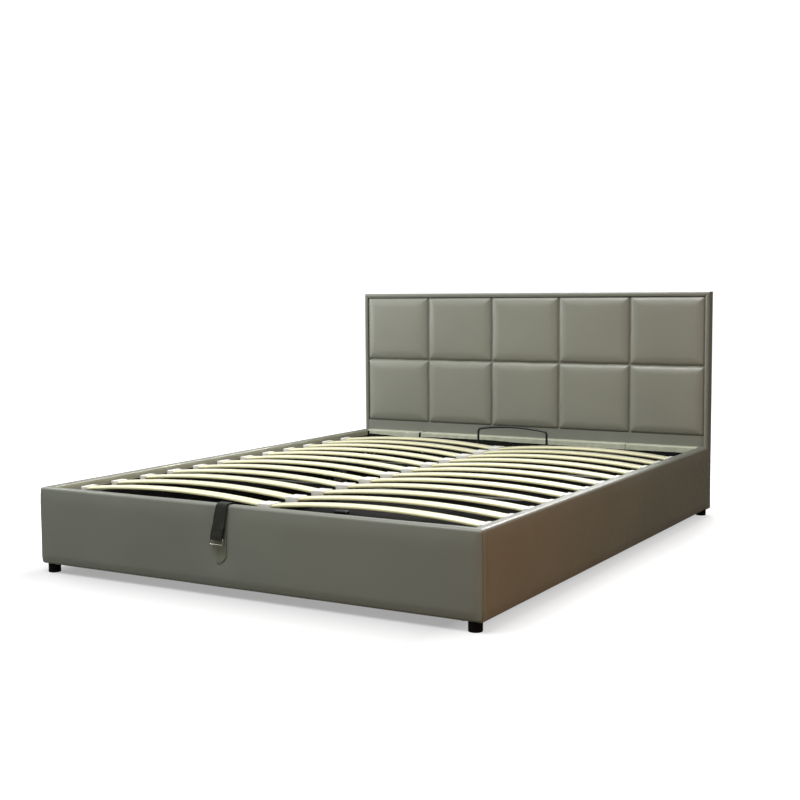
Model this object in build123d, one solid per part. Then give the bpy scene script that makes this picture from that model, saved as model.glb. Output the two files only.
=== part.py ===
from build123d import *

import os
from math import cos, hypot, radians, sin

# Ottoman storage bed. X runs across the bed, Y from the foot to the head, Z up.
# The origin lies on the floor below the middle of the whole bed, pull strap included.

# Overall sizes in millimetres
BED_WIDTH = 1680.0
BED_LENGTH = 2166.0
HEADBOARD_TOP = 942.0
RAIL_TOP = 293.0
FOOT_HEIGHT = 30.0
FOOT_RADIUS = 21.0
FOOT_INSET = 34.0
FOOT_CHAMFER = 2.0

# Clearances and cuts
FIT = 0.3
RUNNING_FIT = 0.05
CUT = 2.0

# Upholstered rails: leatherette with its thin foam over boards, liner inside
SKIN = 3.0
COVER_RADIUS = 5.0
LEDGE_RADIUS = 2.4
SIDE_BOARD = 30.0
FOOT_BOARD = 20.0
HEAD_RAIL_BOARD = 32.0
TUCK_DROP = 12.0
LEDGE_DROP = 25.0
LINER = 1.5

# Headboard and its padded panels
HEADBOARD_THICKNESS = 52.0
HEADBOARD_PADDING = 12.0
PAD_COLUMNS = 5
PAD_ROWS = 2
PAD_BORDER = 17.0
PAD_RAIL_GAP = 44.0
PAD_PROUD = 6.0
PAD_SIDE_BOW = 1.5
PAD_CORNER_RADIUS = 9.0
BACK_WRAP = 40.0

# Storage floor
BATTEN_WIDTH = 20.0
BATTEN_HEIGHT = 17.0
FLOOR_THICKNESS = 6.0
BEAM_WIDTH = 40.0
CENTRE_FOOT_INSET = 260.0

# Corner brackets and bolts
BRACKET_LEG = 55.0
BRACKET_THICKNESS = 3.0
BRACKET_BOTTOM = 100.0
BRACKET_HEIGHT = 100.0
BRACKET_HOLE_INSET = 22.0
BOLT_RADIUS = 4.0
BOLT_HEAD_RADIUS = 7.0
BOLT_HEAD_HEIGHT = 4.5
BOLT_LENGTH = 20.0
HEADBOARD_BOLT_LENGTH = 70.0
HEADBOARD_BOLT_X = 506.0

# Lifting platform of square steel tube
TUBE = 30.0
TUBE_WALL = 1.5
PLATFORM_TOP = 260.0
PLATFORM_FOOT_GAP = 22.0
PLATFORM_HEAD_GAP = 79.0
MECHANISM_SPACE = 29.5
CROSS_TUBE_GAPS = (4, 8)
PLUG_HEAD = 3.0
PLUG_DEPTH = 15.0

# Slats and their caps
SLAT_ROWS = 12
FIRST_ROW_INSET = 118.0
LAST_ROW_INSET = 169.7
SLAT_WIDTH = 53.0
SLAT_THICKNESS = 8.0
SLAT_RISE = 22.5
SLAT_SEAT = 6.5
CAP_WIDTH = 60.0
CAP_HEIGHT = 21.0
CAP_LENGTH = 25.0
CAP_WALL = 3.0
CAP_OVERHANG = 10.0
CAP_RADIUS = 3.0
CENTRE_CAP_LENGTH = 50.0
CENTRE_CAP_WALL = 8.0

# Mattress retaining bar and stop block
BAR_RADIUS = 5.0
BAR_HALF_WIDTH = 166.0
BAR_RISE = 95.0
BAR_CORNER = 15.0
BAR_ARCH_ANGLE = 9.0
STOP_X = 340.0
STOP_WIDTH = 40.0
STOP_DEPTH = 24.0
STOP_HEIGHT = 38.0
STOP_CHAMFER = 3.0

# Lifting mechanism, the same on both sides
PIVOT_LEDGE_GAP = 259.0
STRUT_ARM = 185.0
STRUT_REST_ANGLE = 70.0
HINGE_PLATE = 4.0
HINGE_PLATE_REACH = 16.0
PIVOT_RADIUS = 6.0
PIVOT_HEAD_RADIUS = 11.0
PIVOT_HEAD_HEIGHT = 6.0
PIVOT_COLLAR_RADIUS = 12.0
PIVOT_GRIP = 18.0
POST_WIDTH = 74.0
POST_DEPTH = 17.5
POST_TOP_MARGIN = 15.0
POST_BOTTOM = 60.0
POST_BOLT_INSET = 18.0
POST_BOLT_SPACING = 50.0
POST_BOLT_PIVOT_GAP = 45.0
PLATE = 3.0
STRUT_GAP = 13.5
STRUT_BRACKET_WIDTH = 50.0
STRUT_BRACKET_TOP = 54.0
STRUT_BRACKET_BOTTOM = 14.0
STRUT_BRACKET_HOLE_SHIFT = 17.0
STRUT_BRACKET_HOLE_RISE = 14.0
STRUT_BRACKET_HOLE_SPACING = 28.0
STRUT_PIN_RADIUS = 4.0
STRUT_PIN_HEAD_RADIUS = 7.0
STRUT_PIN_HEAD_HEIGHT = 2.0
EYE_RADIUS = 9.0
EYE_WIDTH = 12.0
NECK_RADIUS = 5.0
CYLINDER_RADIUS = 9.0
CYLINDER_START = 16.0
ROD_RADIUS = 4.0
ROD_SHOWING = 54.0
ROD_TIP_GAP = 32.0

# Pull strap, with its ring and tab
STRAP_WIDTH = 46.0
STRAP_THICKNESS = 2.0
STRAP_TOP_X = -56.0
STRAP_END_X = -74.0
STRAP_DROP = 107.0
STRAP_STAND_OFF = 12.5
STRAP_CREST = 5.0
STRAP_SHOULDER = 6.2
STRAP_SHOULDER_DROP = 8.0
STRAP_PIVOT_GAP = 1.0
LOOP_THICKNESS = 7.0
LOOP_HEIGHT = 9.0
TAB_WIDTH = 43.0
TAB_THICKNESS = 1.5
TAB_X = -60.0
TAB_DROP = 185.0
TAB_END_RISE = 22.0
TAB_FLARE = 6.0
TAB_SHOULDER_DROP = 10.0
RING_WIRE_RADIUS = 1.5
RING_HEIGHT = 26.0
RING_CORNER = 2.5
STRAP_SCREW_RADIUS = 2.5
STRAP_SCREW_HEAD = 5.0
STRAP_SCREW_SPACING = 24.0

# Places worked out from the sizes above
STRAP_REACH = STRAP_STAND_OFF + LOOP_THICKNESS / 2
HALF_WIDTH = BED_WIDTH / 2
FOOT_Y = (STRAP_REACH - BED_LENGTH) / 2
HEAD_Y = FOOT_Y + BED_LENGTH
FOOT_BOARD_Y = FOOT_Y + SKIN + FOOT_BOARD
FOOT_TUCK_Y = FOOT_BOARD_Y + SKIN
HEADBOARD_Y = HEAD_Y - HEADBOARD_THICKNESS
HEAD_BOARD_Y = HEADBOARD_Y - HEAD_RAIL_BOARD
LEDGE_Y = HEAD_BOARD_Y - SKIN
BOARD_X = HALF_WIDTH - SKIN
SIDE_INNER_X = BOARD_X - SIDE_BOARD
TUCK_X = SIDE_INNER_X - SKIN
LINER_X = SIDE_INNER_X - LINER
RAIL_BOTTOM = FOOT_HEIGHT
BOARD_BOTTOM = RAIL_BOTTOM + SKIN
FLOOR_BOTTOM = BOARD_BOTTOM + BATTEN_HEIGHT
FLOOR_TOP = FLOOR_BOTTOM + FLOOR_THICKNESS
PAD_WIDTH = (BED_WIDTH - 2 * PAD_BORDER) / PAD_COLUMNS
PAD_TOP = HEADBOARD_TOP - PAD_BORDER
PAD_HEIGHT = (PAD_TOP - RAIL_TOP - PAD_RAIL_GAP) / PAD_ROWS
PAD_BACK_Y = HEADBOARD_Y + HEADBOARD_PADDING

PLATFORM_Y = FOOT_TUCK_Y + PLATFORM_FOOT_GAP
PLATFORM_END_Y = LEDGE_Y - PLATFORM_HEAD_GAP
PLATFORM_LENGTH = PLATFORM_END_Y - PLATFORM_Y
PLATFORM_X = LINER_X - MECHANISM_SPACE
TUBE_BOTTOM = PLATFORM_TOP - TUBE
TUBE_MIDDLE = PLATFORM_TOP - TUBE / 2
SLAT_PITCH = (PLATFORM_LENGTH - FIRST_ROW_INSET - LAST_ROW_INSET) / (SLAT_ROWS - 1)
CAP_X = PLATFORM_X + CAP_OVERHANG
SLAT_END_X = CAP_X - CAP_WALL
SLAT_START_X = CENTRE_CAP_WALL / 2

PIVOT_Y = LEDGE_Y - PIVOT_LEDGE_GAP
PIVOT_Z = TUBE_MIDDLE
STRUT_FOOT_Y = PIVOT_Y - STRUT_ARM * cos(radians(STRUT_REST_ANGLE))
STRUT_FOOT_Z = PIVOT_Z - STRUT_ARM * sin(radians(STRUT_REST_ANGLE))
STRUT_HEAD_Y = PIVOT_Y - STRUT_ARM
STRUT_HEAD_Z = PIVOT_Z
STRUT_LENGTH = 2 * STRUT_ARM * sin(radians(STRUT_REST_ANGLE / 2))
STRUT_LEAN = STRUT_REST_ANGLE / 2
STRUT_X = LINER_X - STRUT_GAP
POST_FACE_X = LINER_X - PLATE
HINGE_PLATE_X = PLATFORM_X + HINGE_PLATE


def block(x_low, x_high, y_low, y_high, z_low, z_high):
    """A box between two opposite corners."""
    middle = Pos((x_low + x_high) / 2, (y_low + y_high) / 2, (z_low + z_high) / 2)
    return middle * Box(x_high - x_low, y_high - y_low, z_high - z_low)


def crossbar(x_low, x_high, y, z, radius):
    """A round bar along X."""
    return Pos((x_low + x_high) / 2, y, z) * Rot(0, 90, 0) * Cylinder(radius, x_high - x_low)


def both_sides(right):
    """The right-hand solid and its mirror image on the left."""
    return [right, mirror(right, about=Plane.YZ)]


def save(node, pieces):
    """Write the solids of one sub-part to its own file."""
    solids = [solid for piece in pieces for solid in piece.solids()]
    export_step(Compound(solids), f"parts/{node}.step")


def save_sides(node, right):
    """Write a right-hand sub-part and its mirror image as two files."""
    save(f"{node}_right", [right])
    save(f"{node}_left", [mirror(right, about=Plane.YZ)])


def bolt(seat, into, length):
    """A bolt whose head bears on the point seat and whose shank runs along into."""
    plane = Plane(origin=seat, z_dir=into)
    head = plane * Pos(0, 0, -BOLT_HEAD_HEIGHT / 2) * Cylinder(BOLT_HEAD_RADIUS, BOLT_HEAD_HEIGHT)
    shank = plane * Pos(0, 0, length / 2) * Cylinder(BOLT_RADIUS, length)
    return head + shank


def bolt_hole(seat, into, length):
    """The hole for a bolt, with its clearance, open at the seat."""
    depth = length + FIT + CUT
    plane = Plane(origin=seat, z_dir=into)
    return plane * Pos(0, 0, depth / 2 - CUT) * Cylinder(BOLT_RADIUS + FIT, depth)


# Bolt places: seat of the head, direction of the shank, length


def corner_bolts():
    """Two bolts through each leg of the four corner brackets."""
    foot_wall = FOOT_BOARD_Y + LINER + BRACKET_THICKNESS
    head_wall = HEAD_BOARD_Y - LINER - BRACKET_THICKNESS
    side_wall = LINER_X - BRACKET_THICKNESS
    heights = (BRACKET_BOTTOM + BRACKET_HOLE_INSET, BRACKET_BOTTOM + BRACKET_HEIGHT - BRACKET_HOLE_INSET)
    reach = BRACKET_LEG - BRACKET_HOLE_INSET
    places = []
    for side in (-1, 1):
        for z in heights:
            places.append(((side * (LINER_X - reach), foot_wall, z), (0, -1, 0), BOLT_LENGTH))
            places.append(((side * (LINER_X - reach), head_wall, z), (0, 1, 0), BOLT_LENGTH))
            places.append(((side * side_wall, FOOT_BOARD_Y + LINER + reach, z), (side, 0, 0), BOLT_LENGTH))
            places.append(((side * side_wall, HEAD_BOARD_Y - LINER - reach, z), (side, 0, 0), BOLT_LENGTH))
    return places


def headboard_bolts():
    """Four long bolts that hold the headboard to the head rail."""
    seat_y = HEAD_BOARD_Y - LINER
    places = []
    for side in (-1, 1):
        for z in (BRACKET_BOTTOM, BRACKET_BOTTOM + BRACKET_HEIGHT):
            places.append(((side * HEADBOARD_BOLT_X, seat_y, z), (0, 1, 0), HEADBOARD_BOLT_LENGTH))
    return places


def mechanism_bolts():
    """The bolts of the hinge posts and strut foot brackets."""
    lowest = POST_BOTTOM + POST_BOLT_INSET
    post_heights = (lowest, lowest + POST_BOLT_SPACING, PIVOT_Z - POST_BOLT_PIVOT_GAP)
    bracket_y = STRUT_FOOT_Y + STRUT_BRACKET_HOLE_SHIFT
    bracket_z = STRUT_FOOT_Z + STRUT_BRACKET_HOLE_RISE
    places = []
    for side in (-1, 1):
        for z in post_heights:
            places.append(((side * POST_FACE_X, PIVOT_Y, z), (side, 0, 0), BOLT_LENGTH))
        for z in (bracket_z, bracket_z + STRUT_BRACKET_HOLE_SPACING):
            places.append(((side * POST_FACE_X, bracket_y, z), (side, 0, 0), BOLT_LENGTH))
    return places


def holes(places):
    """One hole for each bolt place."""
    return [bolt_hole(*place) for place in places]


# Headboard


def headboard_board():
    board = block(-BOARD_X, BOARD_X, PAD_BACK_Y, HEAD_Y - SKIN, BOARD_BOTTOM, HEADBOARD_TOP - SKIN)
    return board - holes(headboard_bolts())


def headboard_cover():
    """Leatherette over foam: border, plain lower band, sides, top and back wrap."""
    outside = block(-HALF_WIDTH, HALF_WIDTH, HEADBOARD_Y, HEAD_Y, RAIL_BOTTOM, HEADBOARD_TOP)
    rounded = outside.edges().filter_by(Axis.Z) + outside.edges().filter_by(Axis.X).group_by(Axis.Z)[-1]
    outside = fillet(rounded, COVER_RADIUS)
    board = block(-BOARD_X, BOARD_X, PAD_BACK_Y, HEAD_Y - SKIN, BOARD_BOTTOM, HEADBOARD_TOP - SKIN)
    pads_x = HALF_WIDTH - PAD_BORDER
    pads_z = PAD_TOP - PAD_ROWS * PAD_HEIGHT
    pads = block(-pads_x, pads_x, HEADBOARD_Y - CUT, PAD_BACK_Y + CUT, pads_z, PAD_TOP)
    lining_x = HALF_WIDTH - BACK_WRAP
    lining = block(
        -lining_x, lining_x, HEAD_Y - SKIN - CUT, HEAD_Y + CUT,
        RAIL_BOTTOM + BACK_WRAP, HEADBOARD_TOP - BACK_WRAP,
    )
    return outside - board - pads - lining - holes(headboard_bolts())


def headboard_lining():
    """Black non-woven cloth that closes the back of the headboard."""
    lining_x = HALF_WIDTH - BACK_WRAP - FIT
    back = HEAD_Y - SKIN
    low = RAIL_BOTTOM + BACK_WRAP + FIT
    return block(-lining_x, lining_x, back, back + LINER, low, HEADBOARD_TOP - BACK_WRAP - FIT)


def pad_outline(plane, inset):
    """One section of a pad: four sides drawn in between rounded corners."""
    half_width = PAD_WIDTH / 2 - FIT - inset
    half_height = PAD_HEIGHT / 2 - FIT - inset
    corners = [
        (-half_width, -half_height),
        (half_width, -half_height),
        (half_width, half_height),
        (-half_width, half_height),
    ]
    middles = [
        (0, PAD_SIDE_BOW - half_height),
        (half_width - PAD_SIDE_BOW, 0),
        (0, half_height - PAD_SIDE_BOW),
        (PAD_SIDE_BOW - half_width, 0),
    ]
    sides = []
    for index, middle in enumerate(middles):
        following = corners[(index + 1) % len(corners)]
        sides.append(ThreePointArc(corners[index], middle, following))
    outline = make_face(sides)
    return plane * fillet(outline.vertices(), PAD_CORNER_RADIUS)


def headboard_pad(column, row):
    """A sewn panel with its crown, drawn-in sides and soft edges."""
    x = (column - (PAD_COLUMNS - 1) / 2) * PAD_WIDTH
    z = PAD_TOP - (row + 0.5) * PAD_HEIGHT
    depth = PAD_PROUD + HEADBOARD_PADDING
    depth_shares = (0, 0.55, 0.78, 0.9, 0.97, 1)
    inset_shares = (0, 0, 0.2, 0.6, 1.4, 3)
    sections = []
    for depth_share, inset_share in zip(depth_shares, inset_shares):
        y = PAD_BACK_Y - depth_share * depth
        plane = Plane(origin=(x, y, z), x_dir=(1, 0, 0), z_dir=(0, -1, 0))
        sections.append(pad_outline(plane, inset_share * depth))
    return loft(sections, ruled=True)


# Rails


def head_rail_board():
    board = block(-TUCK_X, TUCK_X, HEAD_BOARD_Y, HEADBOARD_Y, BOARD_BOTTOM, RAIL_TOP - SKIN)
    return board - holes(headboard_bolts() + corner_bolts())


def head_rail_cover():
    """The ledge: leatherette over the head rail and down its inner face."""
    ledge = block(-TUCK_X, TUCK_X, LEDGE_Y, HEADBOARD_Y, RAIL_TOP - SKIN, RAIL_TOP)
    drop = block(-TUCK_X, TUCK_X, LEDGE_Y, HEAD_BOARD_Y, RAIL_TOP - LEDGE_DROP, RAIL_TOP)
    cover = ledge + drop
    front = cover.edges().filter_by(Axis.X).group_by(Axis.Z)[-1].sort_by(Axis.Y)[0]
    return fillet(front, LEDGE_RADIUS)


def side_rail_board():
    board = block(SIDE_INNER_X, BOARD_X, FOOT_BOARD_Y, HEADBOARD_Y, BOARD_BOTTOM, RAIL_TOP - SKIN)
    pivot_end = SIDE_INNER_X + PIVOT_GRIP + FIT
    pivot = crossbar(SIDE_INNER_X - CUT, pivot_end, PIVOT_Y, PIVOT_Z, PIVOT_RADIUS + FIT)
    return board - pivot - holes(corner_bolts() + mechanism_bolts())


def side_rail_cover():
    """Leatherette over the outer face, top and bottom, tucked down inside."""
    outside = block(TUCK_X, HALF_WIDTH, FOOT_BOARD_Y, HEADBOARD_Y, RAIL_BOTTOM, RAIL_TOP)
    long_edges = outside.edges().filter_by(Axis.Y)
    outside = fillet(long_edges.sort_by(Axis.X)[-2:], COVER_RADIUS)
    low_y = FOOT_BOARD_Y - CUT
    high_y = HEADBOARD_Y + CUT
    board = block(SIDE_INNER_X, BOARD_X, low_y, high_y, BOARD_BOTTOM, RAIL_TOP - SKIN)
    below_tuck = block(TUCK_X - CUT, SIDE_INNER_X, low_y, high_y, RAIL_BOTTOM - CUT, RAIL_TOP - TUCK_DROP)
    return outside - board - below_tuck


def foot_rail_board():
    board = block(-BOARD_X, BOARD_X, FOOT_Y + SKIN, FOOT_BOARD_Y, BOARD_BOTTOM, RAIL_TOP - SKIN)
    return board - holes(corner_bolts())


def foot_rail_cover():
    """Leatherette over the front, ends, top and bottom of the foot rail."""
    front = block(-HALF_WIDTH, HALF_WIDTH, FOOT_Y, FOOT_BOARD_Y, RAIL_BOTTOM, RAIL_TOP)
    front = fillet(front.edges().group_by(Axis.Y)[0], COVER_RADIUS)
    board = block(-BOARD_X, BOARD_X, FOOT_Y + SKIN, FOOT_BOARD_Y + CUT, BOARD_BOTTOM, RAIL_TOP - SKIN)
    tuck = block(-TUCK_X, TUCK_X, FOOT_BOARD_Y, FOOT_TUCK_Y, RAIL_TOP - TUCK_DROP, RAIL_TOP)
    return front - board + tuck


def storage_liner():
    """Non-woven cloth round the inside of the four rails, above the floor."""
    top = RAIL_TOP - TUCK_DROP
    outside = block(-SIDE_INNER_X, SIDE_INNER_X, FOOT_BOARD_Y, HEAD_BOARD_Y, FLOOR_TOP, top)
    inside = block(
        -LINER_X, LINER_X, FOOT_BOARD_Y + LINER, HEAD_BOARD_Y - LINER, FLOOR_TOP - CUT, RAIL_TOP
    )
    under_ledge = block(-TUCK_X, TUCK_X, LEDGE_Y, HEAD_BOARD_Y + CUT, RAIL_TOP - LEDGE_DROP, RAIL_TOP)
    pivot = crossbar(-HALF_WIDTH, HALF_WIDTH, PIVOT_Y, PIVOT_Z, PIVOT_RADIUS + FIT)
    bolts = holes(corner_bolts() + headboard_bolts() + mechanism_bolts())
    return outside - inside - under_ledge - pivot - bolts


def corner_brackets():
    """Steel angles in the four inside corners."""
    reach_x = LINER_X - BRACKET_LEG
    top = BRACKET_BOTTOM + BRACKET_HEIGHT
    walls = [(FOOT_BOARD_Y + LINER, 1), (HEAD_BOARD_Y - LINER, -1)]
    brackets = []
    for wall_y, inward in walls:
        thick_y = wall_y + inward * BRACKET_THICKNESS
        leg_y = wall_y + inward * BRACKET_LEG
        across = block(reach_x, LINER_X, min(wall_y, thick_y), max(wall_y, thick_y), BRACKET_BOTTOM, top)
        side_x = LINER_X - BRACKET_THICKNESS
        along = block(side_x, LINER_X, min(wall_y, leg_y), max(wall_y, leg_y), BRACKET_BOTTOM, top)
        brackets += both_sides(across + along)
    cuts = holes(corner_bolts())
    return [bracket - cuts for bracket in brackets]


# Storage floor and feet


def floor_beam():
    """Batten down the middle of the floor."""
    return block(
        -BEAM_WIDTH / 2, BEAM_WIDTH / 2, FOOT_BOARD_Y + BATTEN_WIDTH, HEAD_BOARD_Y - BATTEN_WIDTH,
        BOARD_BOTTOM, FLOOR_BOTTOM,
    )


def floor_battens():
    """Battens on the inside of the rails and across the middle."""
    side = block(
        SIDE_INNER_X - BATTEN_WIDTH, SIDE_INNER_X, FOOT_BOARD_Y, HEAD_BOARD_Y, BOARD_BOTTOM, FLOOR_BOTTOM
    )
    end_x = SIDE_INNER_X - BATTEN_WIDTH
    foot = block(-end_x, end_x, FOOT_BOARD_Y, FOOT_BOARD_Y + BATTEN_WIDTH, BOARD_BOTTOM, FLOOR_BOTTOM)
    head = block(-end_x, end_x, HEAD_BOARD_Y - BATTEN_WIDTH, HEAD_BOARD_Y, BOARD_BOTTOM, FLOOR_BOTTOM)
    middle_y = (FOOT_BOARD_Y + HEAD_BOARD_Y) / 2
    cross = block(
        BEAM_WIDTH / 2, end_x, middle_y - BATTEN_WIDTH, middle_y + BATTEN_WIDTH, BOARD_BOTTOM, FLOOR_BOTTOM
    )
    return both_sides(side) + [foot, head] + both_sides(cross)


def storage_floor_panels():
    """Four thin panels that meet over the beam and the cross battens."""
    middle_y = (FOOT_BOARD_Y + HEAD_BOARD_Y) / 2
    panels = []
    for low_y, high_y in ((FOOT_BOARD_Y + FIT, middle_y - FIT), (middle_y + FIT, HEAD_BOARD_Y - FIT)):
        panels += both_sides(block(FIT, SIDE_INNER_X - FIT, low_y, high_y, FLOOR_BOTTOM, FLOOR_TOP))
    return panels


def foot(x, y, height):
    """A round foot with a softened lower edge."""
    cylinder = Cylinder(FOOT_RADIUS, height)
    cylinder = fillet(cylinder.edges().group_by(Axis.Z)[0], FOOT_CHAMFER)
    return Pos(x, y, height / 2) * cylinder


def corner_feet():
    x = HALF_WIDTH - FOOT_INSET
    rows = (FOOT_Y + FOOT_RADIUS + SKIN, HEAD_Y - FOOT_RADIUS - SKIN)
    return [foot(side * x, y, FOOT_HEIGHT) for side in (-1, 1) for y in rows]


def centre_feet():
    middle_y = (FOOT_BOARD_Y + HEAD_BOARD_Y) / 2
    rows = (FOOT_BOARD_Y + CENTRE_FOOT_INSET, middle_y, HEAD_BOARD_Y - CENTRE_FOOT_INSET)
    return [foot(0, y, BOARD_BOTTOM) for y in rows]


# Platform


def tube_along_y(x_low, y_low, y_high):
    outside = block(x_low, x_low + TUBE, y_low, y_high, TUBE_BOTTOM, PLATFORM_TOP)
    inside = block(
        x_low + TUBE_WALL, x_low + TUBE - TUBE_WALL, y_low - CUT, y_high + CUT,
        TUBE_BOTTOM + TUBE_WALL, PLATFORM_TOP - TUBE_WALL,
    )
    return outside - inside


def tube_along_x(x_low, x_high, y_low):
    outside = block(x_low, x_high, y_low, y_low + TUBE, TUBE_BOTTOM, PLATFORM_TOP)
    inside = block(
        x_low - CUT, x_high + CUT, y_low + TUBE_WALL, y_low + TUBE - TUBE_WALL,
        TUBE_BOTTOM + TUBE_WALL, PLATFORM_TOP - TUBE_WALL,
    )
    return outside - inside


def platform_side_tube():
    tube = tube_along_y(PLATFORM_X - TUBE, PLATFORM_Y, PLATFORM_END_Y)
    bore = crossbar(PLATFORM_X - TUBE - CUT, PLATFORM_X + CUT, PIVOT_Y, PIVOT_Z, PIVOT_RADIUS + RUNNING_FIT)
    return tube - bore


def platform_cross_tube(gap):
    """Two tubes in one line, from the side tubes to the centre tube, between two slat rows."""
    middle_y = slat_row_y(gap) - SLAT_PITCH / 2
    return both_sides(tube_along_x(TUBE / 2, PLATFORM_X - TUBE, middle_y - TUBE / 2))


def tube_end_plugs():
    """Plastic plugs in the open ends of the side tubes."""
    core = TUBE - 2 * TUBE_WALL - 2 * FIT
    middle_x = PLATFORM_X - TUBE / 2
    plugs = []
    for end_y, outward in ((PLATFORM_Y, -1), (PLATFORM_END_Y, 1)):
        head = Pos(middle_x, end_y + outward * PLUG_HEAD / 2, TUBE_MIDDLE) * Box(TUBE, PLUG_HEAD, TUBE)
        stem = Pos(middle_x, end_y - outward * PLUG_DEPTH / 2, TUBE_MIDDLE) * Box(core, PLUG_DEPTH, core)
        plugs += both_sides(head + stem)
    return plugs


def slat_row_y(row):
    """Middle of a slat row; the first row at the foot is 0."""
    return PLATFORM_Y + FIRST_ROW_INSET + row * SLAT_PITCH


def slat(row, gap):
    """An arched slat of the right-hand side, grown by gap on its faces."""
    low = PLATFORM_TOP + SLAT_SEAT - gap
    high = low + SLAT_THICKNESS + 2 * gap
    start_x = SLAT_START_X - gap
    end_x = SLAT_END_X + gap
    middle_x = (start_x + end_x) / 2
    under = ThreePointArc((start_x, low), (middle_x, low + SLAT_RISE), (end_x, low))
    over = ThreePointArc((end_x, high), (middle_x, high + SLAT_RISE), (start_x, high))
    side = Line((end_x, low), (end_x, high))
    inner = Line((start_x, high), (start_x, low))
    plane = Plane(origin=(0, slat_row_y(row), 0), x_dir=(1, 0, 0), z_dir=(0, -1, 0))
    return extrude(plane * make_face([under, side, over, inner]), SLAT_WIDTH / 2 + gap, both=True)


def slat_cap(row, x_low, x_high):
    """A plastic slat holder before its pockets are cut."""
    y = slat_row_y(row)
    half = CAP_WIDTH / 2
    cap = block(x_low, x_high, y - half, y + half, PLATFORM_TOP, PLATFORM_TOP + CAP_HEIGHT)
    return fillet(cap.edges().filter_by(Axis.Z), CAP_RADIUS)


def slat_end_caps():
    caps = []
    for row in range(SLAT_ROWS):
        caps += both_sides(slat_cap(row, CAP_X - CAP_LENGTH, CAP_X) - slat(row, FIT))
    return caps


def slat_centre_caps():
    caps = []
    for row in range(SLAT_ROWS):
        pocket = slat(row, FIT)
        cap = slat_cap(row, -CENTRE_CAP_LENGTH / 2, CENTRE_CAP_LENGTH / 2)
        caps.append(cap - both_sides(pocket))
    return caps


def mattress_retaining_bar():
    """Round bar: two legs, small corners and a shallow arch between them."""
    arch_sine = sin(radians(BAR_ARCH_ANGLE))
    arch_cosine = cos(radians(BAR_ARCH_ANGLE))
    arch_radius = (BAR_HALF_WIDTH - BAR_CORNER * (1 - arch_sine)) / arch_sine
    bend_rise = BAR_CORNER * arch_cosine + arch_radius * (1 - arch_cosine)
    leg = BAR_RISE - BAR_RADIUS - bend_rise
    y = PLATFORM_END_Y - TUBE / 2
    turn = 90 - BAR_ARCH_ANGLE
    left_leg = Line((-BAR_HALF_WIDTH, 0), (-BAR_HALF_WIDTH, leg))
    left_bend = JernArc(left_leg @ 1, left_leg % 1, BAR_CORNER, -turn)
    arch = JernArc(left_bend @ 1, left_bend % 1, arch_radius, -2 * BAR_ARCH_ANGLE)
    right_bend = JernArc(arch @ 1, arch % 1, BAR_CORNER, -turn)
    right_leg = Line(right_bend @ 1, (BAR_HALF_WIDTH, 0))
    upright = Plane(origin=(0, y, PLATFORM_TOP), x_dir=(1, 0, 0), z_dir=(0, -1, 0))
    runs = (left_leg, left_bend, arch, right_bend, right_leg)
    path = upright * Wire([run.edge() for run in runs])
    start = Plane(origin=(-BAR_HALF_WIDTH, y, PLATFORM_TOP), z_dir=(0, 0, 1))
    return sweep(start * Circle(BAR_RADIUS), path=path)


def foot_stop_block():
    """Black block that stands on the foot tube."""
    y = PLATFORM_Y + STOP_DEPTH / 2 + STOP_CHAMFER
    stop = Pos(STOP_X, y, PLATFORM_TOP + STOP_HEIGHT / 2) * Box(STOP_WIDTH, STOP_DEPTH, STOP_HEIGHT)
    return chamfer(stop.edges().group_by(Axis.Z)[-1], STOP_CHAMFER)


# Lifting mechanism, right-hand side


def hinge_post():
    """Channel on the side rail that carries the pivot."""
    low_y = PIVOT_Y - POST_WIDTH / 2
    high_y = PIVOT_Y + POST_WIDTH / 2
    top = PIVOT_Z + POST_TOP_MARGIN
    web = block(POST_FACE_X, LINER_X, low_y, high_y, POST_BOTTOM, top)
    flange_x = LINER_X - POST_DEPTH
    near = block(flange_x, LINER_X, low_y, low_y + PLATE, POST_BOTTOM, top)
    far = block(flange_x, LINER_X, high_y - PLATE, high_y, POST_BOTTOM, top)
    bore = crossbar(POST_FACE_X - CUT, LINER_X + CUT, PIVOT_Y, PIVOT_Z, PIVOT_RADIUS + FIT)
    return web + near + far - bore - holes(mechanism_bolts())


def pivot_bolt():
    """Shoulder bolt through the side tube and hinge plate into the post and rail."""
    tube_face = PLATFORM_X - TUBE - FIT
    shank = crossbar(tube_face, SIDE_INNER_X + PIVOT_GRIP, PIVOT_Y, PIVOT_Z, PIVOT_RADIUS)
    head = crossbar(tube_face - PIVOT_HEAD_HEIGHT, tube_face, PIVOT_Y, PIVOT_Z, PIVOT_HEAD_RADIUS)
    collar = crossbar(HINGE_PLATE_X + FIT, POST_FACE_X, PIVOT_Y, PIVOT_Z, PIVOT_COLLAR_RADIUS)
    return shank + head + collar


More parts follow.
